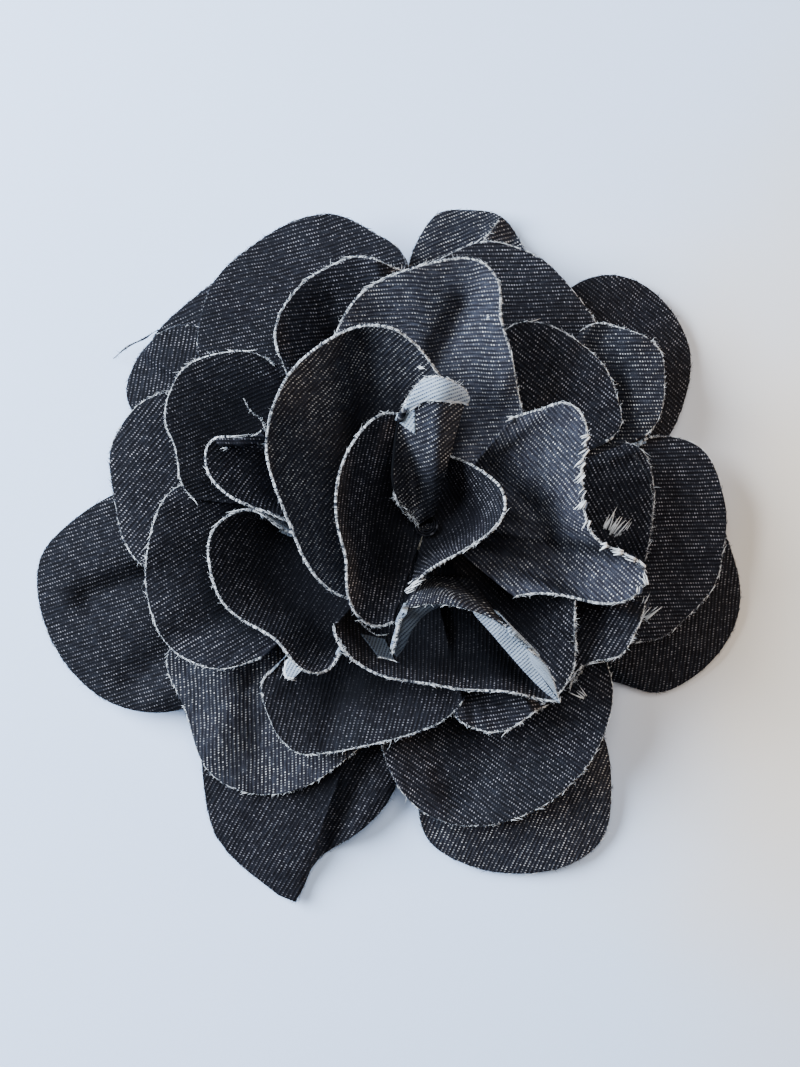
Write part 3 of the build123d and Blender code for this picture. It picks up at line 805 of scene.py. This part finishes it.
def rim_fringe(name, grid, edge, material, per_mm=9.0, seed=0):
    """Short frayed yarns along a petal's rim: some lie along the cut, some stand out of it."""
    normal = grid_normals(grid)[:, -1]
    rim = grid[:, -1]
    outward = unit(grid[:, -1] - grid[:, -4])
    along = unit(np.gradient(rim, axis=0))
    run = run_along(rim)
    count = int(run[-1] / MM * per_mm)
    where = rng.random(count) * run[-1]
    # the fraying comes and goes along the rim
    keep = ripple(seed + 900, 200)
    keep = np.interp(where / run[-1], np.linspace(0, 1, 200), smooth(-1.6, 1.2, keep))
    frayed = np.interp(where, run, (edge[:, -1, 0] > PLAIN / 2) * 1.0) > 0.5
    where = where[(rng.random(count) < lerp(0.30, 1.0, keep)) & frayed]
    count = len(where)

    def at(values):
        return np.stack([np.interp(where, run, values[:, k]) for k in range(3)], axis=1)

    lie = rng.random(count) < 0.70
    lean = rng.normal(size=(count, 1))
    direction = np.where(
        lie[:, None],
        at(along) * np.sign(lean) + at(outward) * rng.uniform(-0.1, 0.30, (count, 1)),
        at(outward) + at(along) * lean * 0.7 + at(normal) * rng.normal(size=(count, 1)) * 0.3,
    )
    depth = rng.uniform(0.05, 0.75, (count, 1)) * CLOTH
    start = at(rim) - at(normal) * depth + at(outward) * CLOTH * 0.12
    size = FRINGE_LENGTH * rng.lognormal(0.0, 0.45, count) * np.where(lie, 1.35, 0.85)
    radius = np.where(lie, 0.055, 0.030) * MM * rng.uniform(0.6, 1.4, count)
    fringe = fibres(name, start, unit(direction), size, radius, material)
    add_piece(fringe)
    return fringe


def make_petal(node, number):
    grid, cloth, edge, base = petal_grid(node, number + 1)
    kind = STYLE[node].get("kind", node.split("_")[0])
    petal = cloth_mesh(f"{node}_cloth", grid, cloth, edge, (DENIM[kind], WRONG_SIDE, RAW_EDGE[kind]))
    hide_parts(node)
    add_piece(petal)
    fringe = rim_fringe(f"{node}_fringe", grid, edge, FRINGE[kind], seed=number)
    # its plan box, kept with its grid, object and search trees
    plan = grid[:, :, :2]
    PETALS[node] = dict(grid=grid, obj=petal, tree=grid_tree(grid), base_tree=grid_tree(base),
                        low=plan.min(axis=(0, 1)), high=plan.max(axis=(0, 1)))


for number, node in enumerate(STYLE):
    make_petal(node, number)


# ================================================================ turned rims, frayed lines, tufts
def petal_tree():
    """All petals as one search tree, to find the uppermost cloth at a place."""
    vertices, faces = [], []
    for petal in PETALS.values():
        mesh = petal["obj"].data
        first = len(vertices)
        vertices.extend(v.co.copy() for v in mesh.vertices)
        faces.extend([first + i for i in p.vertices] for p in mesh.polygons)
    return BVHTree.FromPolygons(vertices, faces)


CLOTH_TREE = petal_tree()


def on_top(x, y, gap=0.15):
    """The point on the uppermost cloth at a place in millimetres, as an array in metres."""
    z = height_at(CLOTH_TREE, x * MM, y * MM)
    if z is None:
        z = cad_low[2] + 1.0 * MM
    return np.array([x * MM, y * MM, z + gap * MM])


def turned_rim(name, node, start, end, widths, lift, grain, top=WRONG_SIDE):
    """A stretch of a petal's rim that is folded over, from one place to another (mm).

    widths, in mm, are spread along the stretch; negative ones hang outward instead of lying
    back on the petal. top is the material that it shows.
    """
    grid = PETALS[node]["grid"]
    kind = node.split("_")[0]
    ends = [nearest(grid[:, -1], place) for place in (start, end)]
    part = np.arange(min(ends), max(ends) + 1)
    if ends[0] > ends[1]:
        widths = widths[::-1]
    columns, rows = 60, 18
    along = np.linspace(0.0, 1.0, columns)
    column = np.interp(along, np.linspace(0, 1, len(part)), part)
    reach = np.interp(along, np.linspace(0, 1, len(widths)), widths) * MM
    normals = grid_normals(grid)
    fold = np.zeros((columns, rows, 3))
    for i, c in enumerate(column):
        low = int(c)
        high = min(low + 1, len(grid) - 1)
        rib = lerp(grid[low], grid[high], c - low)[::-1]
        up = unit(lerp(normals[low], normals[high], c - low)[::-1])
        run = run_along(rib)
        for j, t in enumerate(np.linspace(0.0, 1.0, rows)):
            if reach[i] >= 0:
                at = [np.interp(reach[i] * t, run, rib[:, k]) for k in range(3)]
                facing = [np.interp(reach[i] * t, run, up[:, k]) for k in range(3)]
                rise = CLOTH * 1.05 * smooth(0.0, 0.12, t) + lift * MM * math.sin(math.pi * t**0.8)
                fold[i, j] = np.array(at) + np.array(facing) * rise
            else:
                outward = unit((rib[0] - rib[4]) * np.array([1.0, 1.0, 0.15]))
                fold[i, j] = rib[0] - outward * reach[i] * t
                fold[i, j, 2] += -lift * MM * t**1.3 - CLOTH * 0.4
    cloth = turned(fold[:, :, :2] / MM, grain) + 17.0
    inward = np.abs(reach[:, None]) / MM * (1 - np.linspace(0, 1, rows)[None, :])
    edge = edge_coordinates(run_along(fold[:, -1]) / MM, inward)
    add_piece(cloth_mesh(name, fold, cloth, edge, (top, DENIM[kind], RAW_EDGE[kind])))
    rim_fringe(f"{name}_fringe", fold, edge, FRINGE[kind], per_mm=7.0, seed=len(name))


def frayed_line(name, places, kind, width, hair=0.45, hangs=False):
    """A cut edge of a hidden layer: a thin broken strand with short fibres, on the cloth's top.

    It runs through places, and width and hair, the fibres' length, are in mm too. A strand that
    hangs comes down evenly to the table.
    """
    steps, sides = 50, 6
    flat = curve([(x, y, 0.0) for x, y in places], steps)
    path = np.array([on_top(x / MM, y / MM, 0.05) for x, y in flat[:, :2]])
    if hangs:
        path[:, 2] = np.linspace(path[0, 2], cad_low[2] + 1.0 * MM, steps)
    path[:, 2] = np.convolve(np.pad(path[:, 2], 3, mode="edge"), np.ones(7) / 7, mode="valid")
    along = unit(np.gradient(path, axis=0))
    side = unit(np.cross(along, [0.0, 0.0, 1.0]))
    up = np.cross(side, along)
    bulge = np.sin(math.pi * np.linspace(0.03, 0.97, steps)) ** 0.3
    thick = width / 2 * MM * (1 + 0.35 * ripple(len(name), steps)) * bulge
    thick = np.clip(thick, 0.04 * MM, None)
    vertices, extra = [], []
    for i in range(steps):
        for k in range(sides):
            a = 2 * math.pi * k / sides
            vertices.append(path[i] + thick[i] * (side[i] * math.cos(a) + up[i] * math.sin(a)))
            extra.append((i * 0.31, 0.0))
    faces = tube_faces(steps, sides)
    add_piece(new_mesh(name, vertices, faces, (RAW_EDGE[kind],), None, extra, extra))
    count = int(np.linalg.norm(np.diff(path, axis=0), axis=1).sum() / MM * 6)
    pick = rng.integers(0, steps, count)
    heading = unit(along[pick] * rng.normal(size=(count, 1))
                   + side[pick] * rng.normal(size=(count, 1)) * 0.8
                   + up[pick] * rng.uniform(0, 0.5, (count, 1)))
    hairs = fibres(f"{name}_hairs", path[pick], heading, hair * MM * rng.lognormal(0, 0.4, count),
                   0.035 * MM * rng.uniform(0.6, 1.3, count), FRINGE[kind])
    add_piece(hairs)


def tufts(name, bundles, kind, node=None, yarn=0.085):
    """Bundles of loose weft yarns, each yarn mm in radius, that lie where the list says.

    With a node, each bundle grows from the nearest place on that petal's rim.
    """
    starts, headings, lengths, radii = [], [], [], []
    for x, y, angle, length, width, count in bundles:
        a = math.radians(angle)
        toward = np.array([math.cos(a), math.sin(a), 0.12])
        beside = np.array([-math.sin(a), math.cos(a), 0.0])
        root = on_top(x, y)
        if node:
            rim = PETALS[node]["grid"][:, -1]
            root = rim[nearest(rim, (x, y))] - toward * length * MM * 0.4
        for offset in np.linspace(-0.5, 0.5, count):
            shift = beside * offset * width * MM + toward * rng.normal() * 0.08 * length * MM
            starts.append(root + shift + np.array([0, 0, rng.uniform(0.10, 0.35) * MM]))
            headings.append(toward + beside * (0.35 * offset + rng.normal() * 0.07))
            lengths.append(length * MM * rng.uniform(0.75, 1.1))
            radii.append(yarn * MM * rng.uniform(0.8, 1.2))
    piece = fibres(name, np.array(starts), unit(np.array(headings)), np.array(lengths),
                   np.array(radii), FRINGE[kind], curl=0.18)
    add_piece(piece)


def lip(name, node, start, end, inner, drop, material):
    """The underside of a flaring rim, seen from above: from the rim in to an inner line (mm)."""
    columns, rows = 60, 14
    rim = PETALS[node]["grid"][:, -1]
    first, last = (nearest(rim, place) for place in (start, end))
    step = 1 if first < last else -1
    outer = resample(rim[np.arange(first, last + step, step)], columns)
    inner = resample(curve([(x, y, 0.0) for x, y in inner], columns), columns)
    t = np.linspace(0.0, 1.0, rows)[None, :, None]
    grid = lerp(outer[:, None, :], inner[:, None, :], t)
    grid[:, :, 2] = outer[:, None, 2] - (0.35 + drop * t[:, :, 0] ** 1.5) * MM
    x, y = grid[:, :, 0] / MM, grid[:, :, 1] / MM
    cloth = np.stack([x * 0.7 + y * 0.7, y * 0.7 - x * 0.7], axis=2)
    width = np.linalg.norm(outer[:, :2] - inner[:, :2], axis=1) / MM
    edge = edge_coordinates(run_along(outer) / MM, 3.0 + width[:, None] * t[:, :, 0])
    materials = (material, DENIM["heart"], RAW_EDGE["heart"])
    add_piece(cloth_mesh(name, grid, cloth, edge, materials, 0.3 * MM))


def flap(name, corners, grain, material, gap=0.55):
    """A small four-cornered patch of cloth, wrong side up, lying on the uppermost petal."""
    size = 22
    a, b, c, d = (np.array(p) for p in corners)
    grid = np.zeros((size, size, 3))
    for i, u in enumerate(np.linspace(0.0, 1.0, size)):
        for j, v in enumerate(np.linspace(0.0, 1.0, size)):
            grid[i, j] = on_top(*lerp(lerp(a, b, u), lerp(d, c, u), v), gap)
    # it bridges small dips of the cloth under it
    height = grid[:, :, 2]
    for _ in range(12):
        height = np.maximum(neighbour_mean(height), grid[:, :, 2])
    grid[:, :, 2] = height
    cloth = turned(grid[:, :, :2] / MM, grain)
    run = np.linspace(0.0, 1.0, size) * np.linalg.norm(c - a)
    edge = np.stack(np.meshgrid(run, run[::-1], indexing="ij"), axis=2)
    add_piece(cloth_mesh(name, grid, cloth, edge, (material, DENIM["heart"], RAW_EDGE["heart"])))
    rim_fringe(f"{name}_fringe", grid, edge, FRINGE["heart"], seed=3)


def shade_roll():
    """The bud's base: a short roll of near-black denim that closes the middle of the flower, a dark
    piece put where there is only shade: painted shade.
    """
    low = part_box("bud")[0][2]
    core_low, core_high = box("glue_core")
    centre = (core_low + core_high) / 2
    windings, widest = 4.2, 1.55
    turns, rows = 220, 8
    grid = np.zeros((turns, rows, 3))
    for i, t in enumerate(np.linspace(0.0, 1.0, turns)):
        a = 2 * math.pi * windings * t
        top = lerp(core_high[2] + 1.0 * MM, low + 0.6 * MM, t)
        for j, rise in enumerate(np.linspace(0.0, 1.0, rows)):
            radius = (widest + 0.12 * rise) * t * MM
            grid[i, j] = (centre[0] + radius * math.cos(a), centre[1] + radius * math.sin(a),
                          lerp(low - 1.2 * MM, top, rise))
    cloth = np.stack(np.meshgrid(np.arange(turns) * 0.06, np.arange(rows) * 0.3, indexing="ij"), axis=2)
    roll = cloth_mesh("bud_root_roll", grid, cloth, cloth + 6.0, (DENIM["deep"],) * 3, 0.28 * MM)
    add_piece(roll)


shade_roll()
turned_rim("bud_tip_fold", "bud", (1.8, 20.2), (11.4, 22.4), (1.6, 2.6, 3.3, 3.4, 3.0, 1.8), 0.35, 20)
flap("bud_tip_corner", [(0.9, 19.6), (3.7, 17.4), (3.6, 21.4), (1.7, 21.6)], 50, WRONG_SIDE)
lip("heart_hood_lip", "heart_hood", (12.0, -8.4), (25.4, -21.8),
    [(12.6, -8.8), (14.6, -11.0), (17.2, -14.0), (20.0, -17.2), (22.9, -20.1), (25.2, -21.9)],
    1.6, WRONG_SIDE)
lip("heart_hood_lip_left", "heart_hood", (1.0, -14.8), (8.2, -6.8),
    [(1.2, -14.9), (2.2, -13.6), (3.4, -11.0), (5.0, -8.8), (7.8, -7.1)], 1.2, WRONG_SHADE)
flap("heart_front_low_turn", [(-4.2, -11.9), (-0.6, -12.8), (0.9, -15.8), (-1.6, -15.2)],
     70, WRONG_SHADE, 0.25)
turned_rim("inner_left_oval_tip", "inner_left_oval", (-14.8, -15.2), (-12.6, -17.0),
           (-1.0, -2.2, -2.8, -2.2), 0.4, 60)
turned_rim("inner_left_cuff_band", "inner_left_cuff", (-25.5, 17.2), (-19.2, 18.4),
           (2.4, 3.0, 3.0, 3.0), 0.5, 1, DENIM["inner"])

# name, the places it runs through (mm), the rim kind that it is as pale as, and its width (mm)
FRAYED_LINES = [
    ("bud_wrap_edge", [(0.8, 9.2), (1.4, 7.7), (2.6, 6.6), (4.1, 4.9), (5.8, 3.4)], "inner", 0.22),
    ("heart_left_second_edge", [(-4.8, -9.8), (-3.4, -11.2), (-1.9, -12.2), (-0.4, -12.2)],
     "heart", 0.26),
    ("heart_front_low_edge", [(-7.4, -12.2), (-6.5, -14.2), (-5.4, -15.8)], "inner", 0.24),
    ("outer_back_crease", [(17.2, 52.4), (16.2, 51.0), (14.8, 49.2)], "inner", 0.26),
    ("inner_right_low_edge",
     [(32.6, -15.6), (31.2, -16.5), (29.8, -17.4), (28.8, -19.0), (27.6, -20.6)], "heart", 0.34),
    ("inner_right_front_edge",
     [(27.7, -8.1), (27.8, -10.3), (27.6, -12.4), (27.9, -14.5), (27.6, -16.6)], "middle", 0.26),
    ("middle_right_inner_edge",
     [(33.0, 17.5), (36.5, 15.5), (38.9, 12.5), (39.9, 8.5), (39.6, 4.0)], "outer", 0.20),
]
for name, places, kind, width in FRAYED_LINES:
    frayed_line(name, places, kind, width)
THREAD_HAIR = 0.3
frayed_line("loose_thread_left",
            [(-31.4, 36.0), (-33.6, 35.4), (-36.6, 34.9), (-38.2, 34.0), (-41.5, 32.6), (-43.8, 30.9)],
            "outer", 0.26, THREAD_HAIR, hangs=True)
frayed_line("loose_thread_upper", [(-22.1, 23.8), (-21.2, 22.0), (-19.6, 20.6), (-18.7, 18.3)],
            "middle", 0.20, THREAD_HAIR)

# each tuft: x, y (mm), heading (degrees), length, width (mm) and its number of yarns
HEART_RIGHT_TUFTS = [
    (28.6, 16.6, 215, 1.5, 0.5, 5), (28.4, 15.0, 215, 1.7, 0.6, 5), (28.2, 13.1, 220, 1.6, 0.6, 5),
    (28.2, 11.2, 225, 1.7, 0.6, 5), (28.6, 9.2, 230, 1.6, 0.6, 5), (28.9, 7.2, 240, 1.7, 0.6, 5),
    (29.8, 5.0, 245, 1.4, 0.5, 5), (31.6, 2.6, 200, 1.2, 0.5, 4), (33.4, 1.2, 170, 1.6, 0.6, 5),
    (35.2, 0.0, 160, 1.7, 0.6, 5), (36.8, -1.6, 150, 1.7, 0.6, 5), (37.4, -3.6, 120, 1.6, 0.6, 5),
    (36.9, -5.2, 80, 1.5, 0.6, 5), (17.9, 20.4, 200, 1.0, 0.6, 5),
]
TONGUES = [(33.8, 3.4, 58, 3.0, 3.0, 20), (38.9, -9.6, 52, 3.2, 1.8, 13)]
LOOSE_TUFTS = [
    (30.0, -22.0, 140, 1.8, 0.8, 6),
    (14.6, 35.2, 15, 1.9, 0.5, 5), (4.4, 27.4, 10, 1.8, 0.6, 6), (17.5, 39.0, 200, 0.9, 0.8, 5),
    (17.9, 31.5, 190, 0.9, 0.7, 5), (18.4, 28.8, 195, 0.9, 0.7, 5), (18.8, 26.2, 190, 0.9, 0.7, 5),
    (-23.9, 16.0, 200, 0.9, 0.5, 4),
]
tufts("heart_right_tufts", HEART_RIGHT_TUFTS, "heart", "heart_right", 0.15)
tufts("tongues", TONGUES, "heart", None, 0.12)
tufts("heart_right_inner_tufts", [(4.4, -4.6, 35, 2.0, 0.8, 7), (3.2, -6.0, 25, 1.4, 0.6, 5)],
      "heart", "heart_right_inner")
tufts("loose_tufts", LOOSE_TUFTS, "heart")


# ================================================================ hidden pieces
def felt_material():
    g = Graph("felt")
    place = g.place()
    fuzz = g.noise(place, 2600.0, 4.0, 0.7)
    cloudy = g.noise(place, 300.0, 3.0)
    color = g.mix(fuzz, (0.012, 0.013, 0.017), (0.045, 0.048, 0.058))
    color = g.mix(g.ramp(cloudy, 0.3, 0.7, 0.0, 0.4), color, (0.02, 0.022, 0.028))
    g.bump(fuzz, 0.6, 0.0002)
    return g.finish(color, roughness=0.95, sheen=0.25, specular=0.1)


def glue_material():
    g = Graph("hot_melt")
    cloudy = g.noise(g.place(), 420.0, 3.0)
    color = g.mix(cloudy, (0.42, 0.40, 0.34), (0.68, 0.66, 0.60))
    g.bump(g.noise(g.place(), 700.0, 2.0), 0.4, 0.0003)
    return g.finish(color, roughness=0.28, specular=0.5)


def steel_material():
    g = Graph("nickel_steel")
    place = g.place()
    x, y, z = g.split(place)
    grain = g.noise(g.vector(g.times(x, 300.0), g.times(y, 9000.0), g.times(z, 3000.0)), 1.0, 3.0)
    smudge = g.noise(place, 160.0, 3.0)
    color = g.mix(grain, (0.52, 0.53, 0.55), (0.68, 0.69, 0.70))
    rough = g.ramp(smudge, 0.3, 0.7, 0.22, 0.38)
    g.bump(grain, 0.12, 0.00005)
    return g.finish(color, roughness=rough, metallic=1.0)


def thread_material():
    g = Graph("sewing_thread")
    u, v = g.uv("cloth")
    ply = g.math("FRACT", g.plus(u, v))
    color = g.mix(g.ramp(ply, 0.2, 0.8), (0.02, 0.025, 0.04), (0.07, 0.085, 0.12))
    return g.finish(color, roughness=0.8, sheen=0.2, specular=0.2)


FELT = felt_material()
GLUE = glue_material()
STEEL = steel_material()
THREAD = thread_material()


def lumpy_core():
    """The glue core: lumpy rings that follow the CAD solid's steps."""
    low, high = box("glue_core")
    centre = (low + high) / 2
    radius = (high[0] - low[0]) / 2
    rings, sides = 26, 64
    tree = mesh_tree(frame["nodes"]["glue_core"].data)
    vertices = []
    # the tip is left out: the bud's dark roll, painted shade, stands there
    for i, z in enumerate(np.linspace(low[2] + 0.02 * MM, high[2] - 2.2 * MM, rings)):
        # the solid's own half width at this height
        hit = tree.ray_cast(Vector((centre[0] + 2 * radius, centre[1], z)), Vector((-1, 0, 0)))
        reach = hit[0].x - centre[0] if hit[0] is not None else 0.2 * MM
        for k in range(sides):
            a = 2 * math.pi * k / sides
            lump = 1 - 0.05 * (1 + math.sin(3 * a + 9 * i) * math.sin(5 * a - 4 * i))
            vertices.append((centre[0] + reach * lump * math.cos(a),
                             centre[1] + reach * lump * math.sin(a), z))
    obj = new_mesh("glue_core_lump", vertices, tube_faces(rings, sides), (GLUE,))
    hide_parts("glue_core")
    add_piece(obj)


def felt_disc():
    """The round base: a slightly wavy felt disc with a soft cut edge and loose fibres."""
    low, high = box("felt_base")
    centre = (low + high) / 2
    radius = (high[0] - low[0]) / 2
    sides = 160
    profile = [(r, high[2]) for r in np.linspace(0.02, 0.97, 22)]
    profile += [(0.99, high[2] - 0.1 * MM), (1.0, high[2] - 0.35 * MM)]
    profile += [(1.0, low[2] + 0.35 * MM), (0.99, low[2] + 0.1 * MM)]
    profile += [(r, low[2]) for r in np.linspace(0.97, 0.02, 22)]
    vertices = []
    for i, (r, z) in enumerate(profile):
        for k in range(sides):
            a = 2 * math.pi * k / sides
            ragged = 1 + 0.006 * math.sin(9 * a) + 0.004 * math.sin(23 * a + 1)
            pile = 0.04 * MM * math.sin(31 * a + 5 * i) * (0.3 if r > 0.98 else 1.0)
            vertices.append((centre[0] + radius * r * ragged * math.cos(a),
                             centre[1] + radius * r * ragged * math.sin(a), z + pile))
    obj = new_mesh("felt_base_disc", vertices, tube_faces(len(profile), sides, flip=True), (FELT,))
    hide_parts("felt_base")
    add_piece(obj)
    fuzz = 700
    angle = rng.random(fuzz) * 2 * math.pi
    start = np.stack([centre[0] + radius * 0.99 * np.cos(angle),
                      centre[1] + radius * 0.99 * np.sin(angle),
                      rng.uniform(low[2], high[2], fuzz)], axis=1)
    heading = unit(np.stack([np.cos(angle + rng.normal(size=fuzz) * 0.6),
                             np.sin(angle + rng.normal(size=fuzz) * 0.6),
                             rng.normal(size=fuzz) * 0.4], axis=1))
    hairs = fibres("felt_base_fuzz", start, heading, rng.uniform(0.3, 0.9, fuzz) * MM,
                   rng.uniform(0.012, 0.02, fuzz) * MM, FELT, curl=0.8)
    add_piece(hairs)


def strap_cloth():
    """The strap: a strip of felt that dips under the clip's arm, read off the CAD solid."""
    low, high = box("felt_strap")
    tree = mesh_tree(frame["nodes"]["felt_strap"].data)
    middle = (low[0] + high[0]) / 2
    columns, rows = 30, 64
    grid = np.zeros((columns, rows, 3))
    for j, y in enumerate(np.linspace(low[1] + 0.05 * MM, high[1] - 0.05 * MM, rows)):
        z = height_at(tree, middle, y)
        for i, x in enumerate(np.linspace(low[0], high[0], columns)):
            grid[i, j] = (x, y, z + 0.02 * MM * math.sin(7 * i + 5 * j))
    flat = grid[:, :, :2] / MM
    edge = np.full_like(flat, 5.0)
    obj = cloth_mesh("felt_strap_cloth", grid, flat, edge, (FELT,) * 3, 0.95 * MM)
    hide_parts("felt_strap")
    add_piece(obj)


def stitch(number):
    """One sewing stitch: two plies of thread twisted together, sunk into the felt at its ends."""
    node = f"stitch_{number}"
    low, high = box(node)
    steps, sides = 60, 8
    rad = (high[0] - low[0]) / 2
    vertices, faces, uvs = [], [], []
    for ply in (0, 1):
        first = len(vertices)
        for i in range(steps):
            t = i / (steps - 1)
            sink = smooth(0.12, 0.0, min(t, 1 - t))
            turn = 2 * math.pi * 5 * t + math.pi * ply
            middle = np.array([
                (low[0] + high[0]) / 2 + 0.5 * rad * math.cos(turn),
                lerp(low[1], high[1], t),
                (low[2] + high[2]) / 2 + 0.5 * rad * math.sin(turn) + sink * rad * 1.2,
            ])
            for k in range(sides):
                a = 2 * math.pi * k / sides
                vertices.append(middle + 0.55 * rad * np.array([math.cos(a), 0, math.sin(a)]))
                uvs.append((4 * t, k / sides))
        faces += tube_faces(steps, sides, first)
    obj = new_mesh(f"{node}_thread", vertices, faces, (THREAD,), None, uvs)
    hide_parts(node)
    add_piece(obj)


def metal(node, width):
    """A steel part keeps its CAD shape and gets rolled edges."""
    obj = frame["nodes"][node]
    obj.data.materials.clear()
    obj.data.materials.append(STEEL)
    weld = obj.modifiers.new("weld", "WELD")
    weld.merge_threshold = 0.002 * MM
    bevel = obj.modifiers.new("edges", "BEVEL")
    bevel.width = width * MM
    bevel.segments = 3
    bevel.limit_method = "ANGLE"
    bevel.angle_limit = math.radians(40)


def beak_teeth():
    """A row of pressed teeth along each side of the moving arm's beak, on its inner face."""
    tree = mesh_tree(frame["nodes"]["clip_lower_arm"].data)
    low, high = box("clip_lower_arm")
    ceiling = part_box("clip_upper_arm")[1][2] - 0.9 * MM
    # the teeth's cross section: how far along the arm, in mm, and how much of the height
    section = ((-0.45, -0.06), (-0.22, 0.65), (0.0, 1.0), (0.22, 0.65), (0.45, -0.06))
    vertices, faces = [], []
    for k in range(7):
        x = high[0] - (3.0 + 1.5 * k) * MM
        z = height_at(tree, x, (low[1] + high[1]) / 2)
        rise = min(0.5 * MM, ceiling - z)
        if rise < 0.1 * MM:
            continue
        steps = 10
        first = len(vertices)
        for i in range(steps + 1):
            y = lerp(low[1] + 0.6 * MM, high[1] - 0.6 * MM, i / steps)
            swell = math.sin(math.pi * i / steps) ** 0.4
            for dx, dz in section:
                vertices.append((x + dx * MM, y, z + dz * (rise * swell if dz > 0 else MM)))
        faces += tube_faces(steps + 1, len(section), first)
    obj = new_mesh("beak_teeth", vertices, faces, (STEEL,))
    add_piece(obj, "lower_jaw")


def spring_wire():
    """The torsion spring: legs and coil as one smooth wire."""
    low, high = box("spring")
    hinge = [j for j in frame["joints"] if j["name"] == "clip_hinge"][0]
    pivot = np.array(hinge["pos_m"])
    wire = 0.3 * MM
    turns, sides = 2.5, 12
    coil = min(high[2] - pivot[2], 1.25 * MM)
    start, end = low[1] + wire, high[1] - wire
    upper_tip = np.array([low[0] + wire, start, high[2] - wire * 1.3])
    lower_tip = np.array([low[0] + wire, end, low[2] + wire * 1.3])
    leg = np.linspace(0.0, 1.0, 16)[:, None]
    t = np.linspace(0.0, 1.0, 110)
    a = 2 * math.pi * turns * t
    winding = np.stack([pivot[0] + coil * np.sin(a), lerp(start, end, t),
                        pivot[2] + coil * np.cos(a)], axis=1)
    leave = np.array([pivot[0], start, pivot[2] + coil])
    arrive = np.array([pivot[0], end, pivot[2] - coil])
    path = np.concatenate([lerp(upper_tip, leave, leg)[:-1], winding, lerp(arrive, lower_tip, leg)[1:]])
    along = unit(np.gradient(path, axis=0))
    a_side = unit(np.cross(along, [0.0, 1.0, 0.0]))
    b_side = unit(np.cross(along, a_side))
    vertices = []
    for p, a, b in zip(path, a_side, b_side):
        for k in range(sides):
            w = 2 * math.pi * k / sides
            vertices.append(p + wire * (a * math.cos(w) + b * math.sin(w)))
    obj = new_mesh("spring_wire", vertices, tube_faces(len(path), sides, flip=True), (STEEL,))
    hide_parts("spring")
    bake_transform(obj)


lumpy_core()
strap_cloth()
felt_disc()
for stitch_number in (1, 2, 3, 4):
    stitch(stitch_number)
metal("clip_upper_arm", 0.18)
metal("clip_lower_arm", 0.18)
metal("hinge_pin", 0.08)
beak_teeth()
spring_wire()


# ================================================================ table, light, camera
def table_top():
    g = Graph("table")
    x, y = g.split(g.place())[:2]
    speck = g.noise(g.place(), 900.0, 2.0)
    cloudy = g.times(g.minus(g.noise(g.place(), 22.0, 2.0), 0.5), 0.05)
    # painted light: the table is painted cool blue, as in the window's light, and warm tan around a
    # place 80 mm to the right, as under a warm glow
    glow_x, glow_y, stretch = 0.080, -0.005, 0.62
    across = g.minus(g.plus(x, cloudy), glow_x)
    along = g.times(g.minus(y, glow_y), stretch)
    distance = g.math("SQRT", g.plus(g.times(across, across), g.times(along, along)))
    color = g.mix(g.ramp(distance, 0.070, 0.012), (0.500, 0.625, 0.850), (0.620, 0.555, 0.475))
    color = g.mix(g.times(speck, 0.06), color, (0.40, 0.43, 0.47))
    g.finish(color, roughness=0.55, specular=0.2)
    half = 0.6
    vertices = [(-half, -half, 0), (half, -half, 0), (half, half, 0), (-half, half, 0)]
    floor = new_mesh("table_top", vertices, [(0, 1, 2, 3)], (g.material,))
    floor.location.z = -0.0002


def area_light(name, place, target, size, power, color):
    data = bpy.data.lights.new(name, "AREA")
    data.shape = "DISK"
    data.size = size
    data.energy = power
    data.color = color
    obj = bpy.data.objects.new(name, data)
    bpy.context.scene.collection.objects.link(obj)
    obj.location = place
    aim = Vector(target) - Vector(place)
    obj.rotation_euler = aim.to_track_quat("-Z", "Y").to_euler()


table_top()
FLOWER = (0.0, 0.0, 0.01)
area_light("window", (-0.41, 0.15, 0.34), FLOWER, size=0.42, power=16.0, color=(0.80, 0.89, 1.0))
area_light("overhead", (0.03, 0.13, 0.66), FLOWER, size=0.34, power=3.8, color=(1.0, 0.97, 0.94))
area_light("warm_bounce", (0.42, 0.02, 0.06), (0.10, 0.02, 0.0), size=0.14, power=1.6,
           color=(1.0, 0.74, 0.50))

world = bpy.data.worlds.new("studio")
world.use_nodes = True
sky = world.node_tree.nodes["Background"]
sky.inputs["Color"].default_value = (0.86, 0.92, 1.0, 1.0)
sky.inputs["Strength"].default_value = 0.07
bpy.context.scene.world = world

camera_data = bpy.data.cameras.new("camera")
camera_data.sensor_fit = "VERTICAL"
camera_data.sensor_height = SENSOR_HEIGHT
camera_data.lens = SENSOR_HEIGHT * CAMERA_HEIGHT / PICTURE_HEIGHT
camera_data.clip_start = 0.01
camera = bpy.data.objects.new("camera", camera_data)
camera.location = (CAMERA_X, CAMERA_Y, CAMERA_HEIGHT)
camera.rotation_euler = (0.0, 0.0, 0.0)
bpy.context.scene.collection.objects.link(camera)
bpy.context.scene.camera = camera
